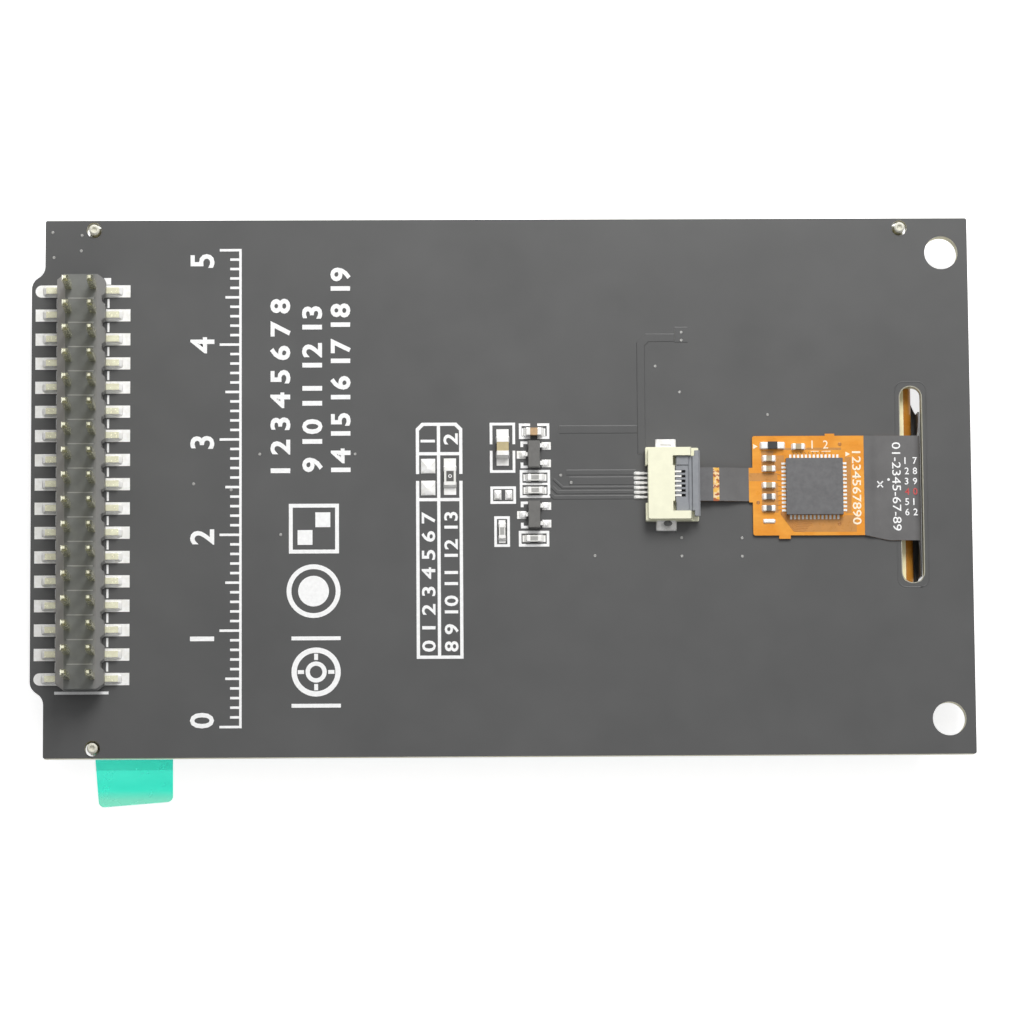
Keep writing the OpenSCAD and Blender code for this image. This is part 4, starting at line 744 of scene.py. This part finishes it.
# each as its width and the points that it runs through
TRACKS = (
    (0.9, ((6.0, 5.9), (14.12, 5.9))),
    (0.9, ((14.57, 3.3), (14.57, 14.9), (15.25, 15.56), (18.1, 15.56))),
    (1.7, ((18.15, 15.87), (19.51, 15.87))),
    (0.64, ((6.7, 1.37), (13.95, 1.37))),
    (0.92, ((7.0, 0.50), (13.95, 0.50))),
    (0.34, ((5.35, 0.68), (6.3, -0.2), (13.95, -0.2))),
    (0.46, ((5.2, -0.14), (5.75, -0.68), (13.95, -0.68))),
    (0.48, ((5.0, -0.85), (5.4, -1.24), (13.95, -1.24))),
)
BARE_VIAS = (
    (16.09, 12.54), (18.61, 9.80), (6.11, 1.10), (9.60, -7.38), (18.64, -5.51), (18.65, -7.44),
    (24.95, -5.57), (24.95, -7.49), (27.78, 7.39), (-46.86, 26.94), (-46.72, 24.28),
    (-43.87, 24.98), (-43.80, 26.62), (-32.10, 0.35), (-28.20, -0.29), (-23.05, -5.00),
    (-25.23, 3.44), (-15.31, 3.42),
)
TRACK_VIAS = ((7.19, 0.32), (18.85, 16.12), (18.84, 15.28))
BOARD_VIA = ((0.17, 0), (0.13, 0.02), (0.08, 0.02), (0.05, 0.008))
POUR_GAP = 0.5
RIM_W, RIM_H = 0.09, 0.012


def board_tracks():
    """Tracks that show through the mask as low raised bands."""
    bm = bmesh.new()
    for width, route in TRACKS:
        ribbon(bm, route, width, BOARD_TOP, TRACK, TRACK_SLOPE)
    return add_piece("board_tracks", bm, "board_mask")


def pour_edges():
    """The edge of the broad copper fill round the cable slot."""
    bm = bmesh.new()
    outline = round_box(*grown(SLOT, POUR_GAP), 0.9, 5)
    ribbon(bm, outline + outline[:2], 0.14, BOARD_TOP, 0.02, 0.04)
    return add_piece("pour_edges", bm, "board_mask")


def slot_rim():
    """The bare laminate that the mask leaves round the cable slot."""
    bm = bmesh.new()
    radius = (SLOT[2] - SLOT[0]) / 2
    rings = []
    for by, h in ((RIM_W, 0), (RIM_W, RIM_H), (0.0, RIM_H), (0.0, 0)):
        rings.append([(x, y, BOARD_TOP + h) for x, y in round_box(*grown(SLOT, by), radius + by, 8)])
    add_loop(bm, rings)
    return add_piece("slot_rim", bm, "bare_laminate")


def via_rings():
    """Small plated holes under the mask, seen as pale dots."""
    bm = bmesh.new()
    for places, z in ((BARE_VIAS, BOARD_TOP), (TRACK_VIAS, BOARD_TOP + TRACK)):
        for x, y in places:
            via(bm, x, y, z, BOARD_VIA)
    return add_piece("via_rings", bm, "via_metal", smooth=True)


# ---------- print on the board ----------

SCALE_LOW, SCALE_HIGH = box("scale_print")
SCALE_STEPS = 5


def scale_numbers():
    """Numerals beside the long strokes of the printed scale."""
    bm = bmesh.new()
    span = SCALE_HIGH.y - SCALE_LOW.y
    height, length, gap = 2.5, 2.0, 0.55
    for i in range(SCALE_STEPS + 1):
        stroke = SCALE_LOW.y + span * i / SCALE_STEPS
        y = min(max(stroke - length / 2, SCALE_LOW.y), SCALE_HIGH.y - length)
        add_text(bm, str(i), (SCALE_LOW.x - gap, y), height, BOARD_TOP, TURNED)
    return add_piece("scale_numbers", bm, "white_ink")


def number_rows():
    """Three rows of plain counting numbers."""
    bm = bmesh.new()
    rows = (
        ("1 2 3 4 5 6 7 8", -22.0, 1.44, 18.4, 2.15),
        ("9 10 11 12 13", -18.66, 1.53, 17.5, 2.15),
        ("14 15 16 17 18 19", -15.72, 1.52, 21.6, 2.15),
    )
    for text, x, y, length, height in rows:
        add_text(bm, text, (x, y), height, BOARD_TOP, TURNED, length, weight=0.03)
    return add_piece("number_rows", bm, "white_ink")


def table_numbers():
    """Plain numbers in the cells of the printed table."""
    bm = bmesh.new()
    cells = (
        ("1", -6.98, 4.6, None, 1.5), ("2", -4.6, 4.35, 1.2, 1.5),
        ("0 1 2 3 4 5 6 7", -6.98, -17.3, 14.6, 1.45), ("8 9 10 11 12 13", -4.62, -17.3, 14.6, 1.45),
    )
    for text, x, y, length, height in cells:
        add_text(bm, text, (x, y), height, BOARD_TOP, TURNED, length)
    return add_piece("table_numbers", bm, "white_ink")


STROKE = 0.2


def target_mark(bm, x, y, z):
    """Two rings with four spokes, between two bars."""
    outer, bar_y, spoke = 2.55, 3.5, (1.25, 1.9)
    ring(bm, x, y, outer, 2.0, z, INK)
    ring(bm, x, y, 1.1, 0.65, z, INK, 28)
    for side in (-1, 1):
        near, far = sorted(side * reach for reach in spoke)
        bar(bm, x + near, y - STROKE, x + far, y + STROKE, z)
        bar(bm, x - STROKE, y + near, x + STROKE, y + far, z)
        bar(bm, x - outer, y + side * bar_y - STROKE, x + outer, y + side * bar_y + STROKE, z)


def disc_mark(bm, x, y, z):
    """A disc inside a ring."""
    ring(bm, x, y, 2.8, 2.3, z, INK)
    plate(bm, circle(x, y, 1.6, 32), z, INK)


def square_mark(bm, x, y, z):
    """A square frame with two opposite quarters filled."""
    half, gap, reach = 2.4, 0.15, 1.7
    for side in (-1, 1):
        edge_x, edge_y = x + side * half, y + side * half
        bar(bm, x - half - STROKE, edge_y - STROKE, x + half + STROKE, edge_y + STROKE, z)
        bar(bm, edge_x - STROKE, y - half + STROKE, edge_x + STROKE, y + half - STROKE, z)
        near, far = sorted((side * gap, side * reach))
        bar(bm, x + near, y + near, x + far, y + far, z)


def aim_marks():
    """Three plain alignment marks: a target, a ringed disc and a quartered square."""
    bm = bmesh.new()
    target_mark(bm, -19.4, -19.34, BOARD_TOP)
    disc_mark(bm, -19.65, -10.92, BOARD_TOP)
    square_mark(bm, -19.6, -4.39, BOARD_TOP)
    return add_piece("aim_marks", bm, "white_ink")


# ---------- print on the cables ----------

LANES = 6
LANE_PITCH = 1.08
RED_LINE = 3


def flex_print():
    """Numbers and small marks on the amber field."""
    bm = bmesh.new()
    z = FIELD_TOP
    for figure, x, line_x0, line_x1 in (("1", 32.3, 32.2, 33.05), ("2", 33.5, 33.35, 34.3)):
        add_text(bm, figure, (x, 3.75), 0.85, z, thick=THIN_INK, weight=0)
        bar(bm, line_x0, 3.42, line_x1, 3.5, z, THIN_INK)
    add_text(bm, "1234567890", (36.5, 3.45), 0.92, z, -TURNED, 7.7, thick=THIN_INK, weight=0.012)
    back, tip, half = 0.22, 0.26, 0.26
    for x, y in ((26.42, 3.99), (36.05, 3.16)):
        plate(bm, [(x - back, y - half), (x + tip, y), (x - back, y + half)], z, THIN_INK)
    return add_piece("flex_print", bm, "cream_ink")


def lane_pair(bm, line):
    """Two plain figures beside one of the cable's lines."""
    y = 2.1 - LANE_PITCH * line
    for x, figure in ((42.0, line + 1), (42.85, (line + 7) % 10)):
        add_text(bm, str(figure), (x, y), 0.72, LANE_TOP, thick=THIN_INK, weight=0.01)


def lane_print():
    """Numbers beside the cable's lines, a plain column of numbers, a cross and a dot."""
    bm = bmesh.new()
    for line in range(LANES):
        if line != RED_LINE:
            lane_pair(bm, line)
    add_text(bm, "01-2345-67-89", (40.7, 4.4), 0.9, LANE_TOP, -TURNED, 9.3, thick=THIN_INK, weight=0.004)
    x0, x1, y, rise = 39.12, 39.72, -0.02, 0.32
    for lean in (-rise, rise):
        ribbon(bm, [(x0, y - lean), (x1, y + lean)], 0.14, LANE_TOP, THIN_INK, 0.01)
    plate(bm, circle(40.31, 0.48, 0.14, 10), LANE_TOP, THIN_INK)
    return add_piece("lane_print", bm, "white_ink")


def lane_print_red():
    """The one line whose figures are red."""
    bm = bmesh.new()
    lane_pair(bm, RED_LINE)
    return add_piece("lane_print_red", bm, "red_ink")


# ---------- amber field and slot: copper, lines, joined holes, a ring, and the display flex's rim with a painted highlight ---

COPPER_T = 0.004
FLEX_LINE = 0.09
FLEX_VIA = ((0.2, 0), (0.18, 0.02), (0.1, 0.02), (0.07, 0.008))
# outlines from the field plate's lowest corner
COPPER_FIELDS = (
    ((2.75, 2.45), (4.3, 0.35), (10.8, 0.35), (10.8, 2.1), (9.6, 2.1), (9.3, 1.85), (3.6, 1.85)),
    ((-0.35, 5.7), (2.6, 5.7), (2.6, 6.55), (-0.35, 6.55)),
    ((0.95, 2.4), (2.65, 2.4), (2.65, 5.5), (0.95, 5.5)),
    ((0.95, 6.75), (3.3, 6.75), (3.3, 8.4), (2.2, 8.4), (2.2, 8.9), (0.95, 8.9)),
    ((9.65, 2.3), (10.3, 2.3), (10.3, 8.2), (9.65, 8.2)),
    ((3.1, 8.95), (9.3, 8.95), (9.3, 9.2), (3.1, 9.2)),
)


def copper_fields():
    """Broad copper under the amber film, darker than the bare film round it."""
    bm = bmesh.new()
    for outline in COPPER_FIELDS:
        plate(bm, [(FIELD_LOW.x + x, FIELD_LOW.y + y) for x, y in outline], FIELD_TOP, COPPER_T)
    return add_piece("copper_fields", bm, "flex_field")


def corner_lines(low):
    """Nested lines round the controller's lower left corner."""
    lines = []
    for i in range(7):
        step = 0.17 * i
        x = low.x - 0.55 + 0.45 * step
        y = FIELD_LOW.y + step
        lines.append([(x, low.y + 0.35), (x, low.y + 0.1), (low.x + 0.75 + 0.6 * step, y + 0.45),
                      (low.x + 1.9 + 0.9 * step, y + 0.38)])
    return lines


def lead_lines(low, high):
    """Short lines out of the controller's left and upper leads."""
    left = low.x - 0.4
    lines = []
    for i in range(4):
        y = high.y - 1.1 - 0.62 * i
        lines.append([(left, y), (left - 0.55, y + 0.15)])
    for i in range(5):
        y = low.y + 0.6 + 0.5 * i
        lines.append([(left, y), (left - 0.6, y - 0.12)])
    for i in range(9):
        x = low.x + 0.9 + 0.41 * i
        lines.append([(x, high.y + 0.4), (x - 0.15, high.y + 0.75)])
    return lines


def flex_tracks():
    """Fine copper lines under the amber film."""
    bm = bmesh.new()
    low, high = box("touch_controller")
    for line in corner_lines(low) + lead_lines(low, high):
        ribbon(bm, line, FLEX_LINE, FIELD_TOP + 0.003, 0.012, 0.02)
    return add_piece("flex_tracks", bm, "flex_copper")


def flex_rings():
    """The amber field's joined holes."""
    bm = bmesh.new()
    for x, y in ((35.25, 4.2), (35.12, -4.15), (26.65, -1.9)):
        via(bm, x, y, FIELD_TOP, FLEX_VIA)
    return add_piece("flex_rings", bm, "flex_copper", smooth=True)


def flex_stripe():
    """A pale strip on the display flex that the slot shows: a painted highlight of the light on the flex's
    bend.
    """
    bm = bmesh.new()
    half, end = 14.5, 42.2
    bar(bm, SLOT[0] - 0.3, -half, end, half, box("display_flex")[1].z, 0.02)
    return add_piece("flex_stripe", bm, "painted_glint_film")


def link_ring():
    """The small ring on the dark link beside the table."""
    bm = bmesh.new()
    low, high = min(islands("resistor_coats"), key=lambda b: b[0].x)
    centre = (low + high) / 2
    ring(bm, centre.x, centre.y, 0.19, 0.11, high.z, THIN_INK, 16)
    return add_piece("link_ring", bm, "white_ink")


for make in (
    header_solder, part_solder, flex_solder, pad_solder, connector_solder, tab_window, bridge_solder,
    board_tracks, pour_edges, slot_rim, header_webs, header_lines, via_rings,
    scale_numbers, number_rows, aim_marks, table_numbers, flex_print, lane_print, lane_print_red,
    copper_fields, flex_tracks, flex_rings, flex_stripe, link_ring,
):
    make()


# ---------- camera, light and floor ----------

LENS = 161.7
SENSOR = 36
CAMERA_AT = Vector((-9.772, -60.337, 468.487 + BOARD_TOP))
CAMERA_BACK = Vector((-0.021287, -0.123535, 0.992112))
CAMERA_UP = Vector((0.004397, 0.992316, 0.123654))

# the sky grows from dim to bright towards this way
SKY_WAY = (0.05, 1.6, 0.7)
SKY_REACH = 1.5
SKY_DIM, SKY_BRIGHT = 0.1, 0.9

FLOOR_REACH = 1500
FLOOR_CORNER = 100
FLOOR_Z = -0.02
FLOOR_TONE = 0.72
FLOOR_GLOW = 0.75


def add_camera():
    """The photograph's camera, worked out from the board's corners, holes and pins."""
    data = bpy.data.cameras.new("camera")
    data.lens = LENS
    data.sensor_width = SENSOR
    data.clip_start = 0.01
    data.clip_end = 10
    camera = bpy.data.objects.new("camera", data)
    bpy.context.scene.collection.objects.link(camera)
    back = CAMERA_BACK.normalized()
    right = CAMERA_UP.cross(back).normalized()
    up = back.cross(right)
    turn = Matrix((right, up, back)).transposed().to_4x4()
    camera.matrix_world = Matrix.Translation(CAMERA_AT * MM) @ turn
    bpy.context.scene.camera = camera


def add_area(name, at, size, strength, colour=(1, 1, 1)):
    """A round lamp that faces the middle of the ground."""
    data = bpy.data.lights.new(name, "AREA")
    data.shape = "DISK"
    data.size = size
    data.energy = strength
    data.color = colour
    lamp = bpy.data.objects.new(name, data)
    bpy.context.scene.collection.objects.link(lamp)
    lamp.location = at
    lamp.rotation_mode = "QUATERNION"
    lamp.rotation_quaternion = (-Vector(at)).to_track_quat("-Z", "Y")


def add_world():
    """Soft surroundings, bright overhead and towards +Y, dimmer near the ground, white to the camera."""
    world = bpy.data.worlds.new("surroundings")
    bpy.context.scene.world = world
    world.use_nodes = True
    tree = world.node_tree
    back = tree.nodes["Background"]
    path = tree.nodes.new("ShaderNodeLightPath")
    where = tree.nodes.new("ShaderNodeTexCoord")
    way = tree.nodes.new("ShaderNodeVectorMath")
    way.operation = "DOT_PRODUCT"
    way.inputs[1].default_value = SKY_WAY
    tree.links.new(where.outputs["Generated"], way.inputs[0])
    grade = tree.nodes.new("ShaderNodeMapRange")
    grade.inputs["From Min"].default_value = 0.0
    grade.inputs["From Max"].default_value = SKY_REACH
    grade.inputs["To Min"].default_value = SKY_DIM
    grade.inputs["To Max"].default_value = SKY_BRIGHT
    tree.links.new(way.outputs["Value"], grade.inputs["Value"])
    pick = tree.nodes.new("ShaderNodeMix")
    tree.links.new(path.outputs["Is Camera Ray"], pick.inputs["Factor"])
    tree.links.new(grade.outputs["Result"], pick.inputs["A"])
    pick.inputs["B"].default_value = 1.0
    tree.links.new(pick.outputs["Result"], back.inputs["Strength"])
    back.inputs["Color"].default_value = (1, 1, 1, 1)


def floor_material():
    """White that glows enough to read as white to the camera and in metal, and fully through clear film."""
    s = Shader("floor_white")
    s.set(Base_Color=(FLOOR_TONE, FLOOR_TONE, FLOOR_TONE, 1), Roughness=0.9)
    s.bsdf.inputs["Emission Color"].default_value = (1, 1, 1, 1)
    path = s.add("ShaderNodeLightPath")
    seen = s.math("MAXIMUM", path.outputs["Is Camera Ray"], path.outputs["Is Glossy Ray"])
    glow = s.math("MULTIPLY", seen, FLOOR_GLOW)
    s.link(s.math("MAXIMUM", glow, path.outputs["Is Transmission Ray"]), s.bsdf.inputs["Emission Strength"])
    return s.material


def add_floor():
    """A plain white floor that still takes the object's shadow."""
    bm = bmesh.new()
    edge = round_box(-FLOOR_REACH, -FLOOR_REACH, FLOOR_REACH, FLOOR_REACH, FLOOR_CORNER)
    bm.faces.new([bm.verts.new((x, y, FLOOR_Z)) for x, y in edge])
    bmesh.ops.scale(bm, vec=(MM, MM, MM), verts=bm.verts)
    mesh = bpy.data.meshes.new("floor")
    bm.to_mesh(mesh)
    bm.free()
    floor = bpy.data.objects.new("floor", mesh)
    bpy.context.scene.collection.objects.link(floor)
    mesh.materials.append(floor_material())


bpy.context.scene.view_settings.view_transform = "Standard"
add_camera()
add_world()
add_floor()
add_area("key", (0.06, 0.22, 0.25), 0.17, 0.88, (1.0, 0.99, 0.97))
add_area("fill", (0.1, -0.4, 0.5), 0.5, 0.7)
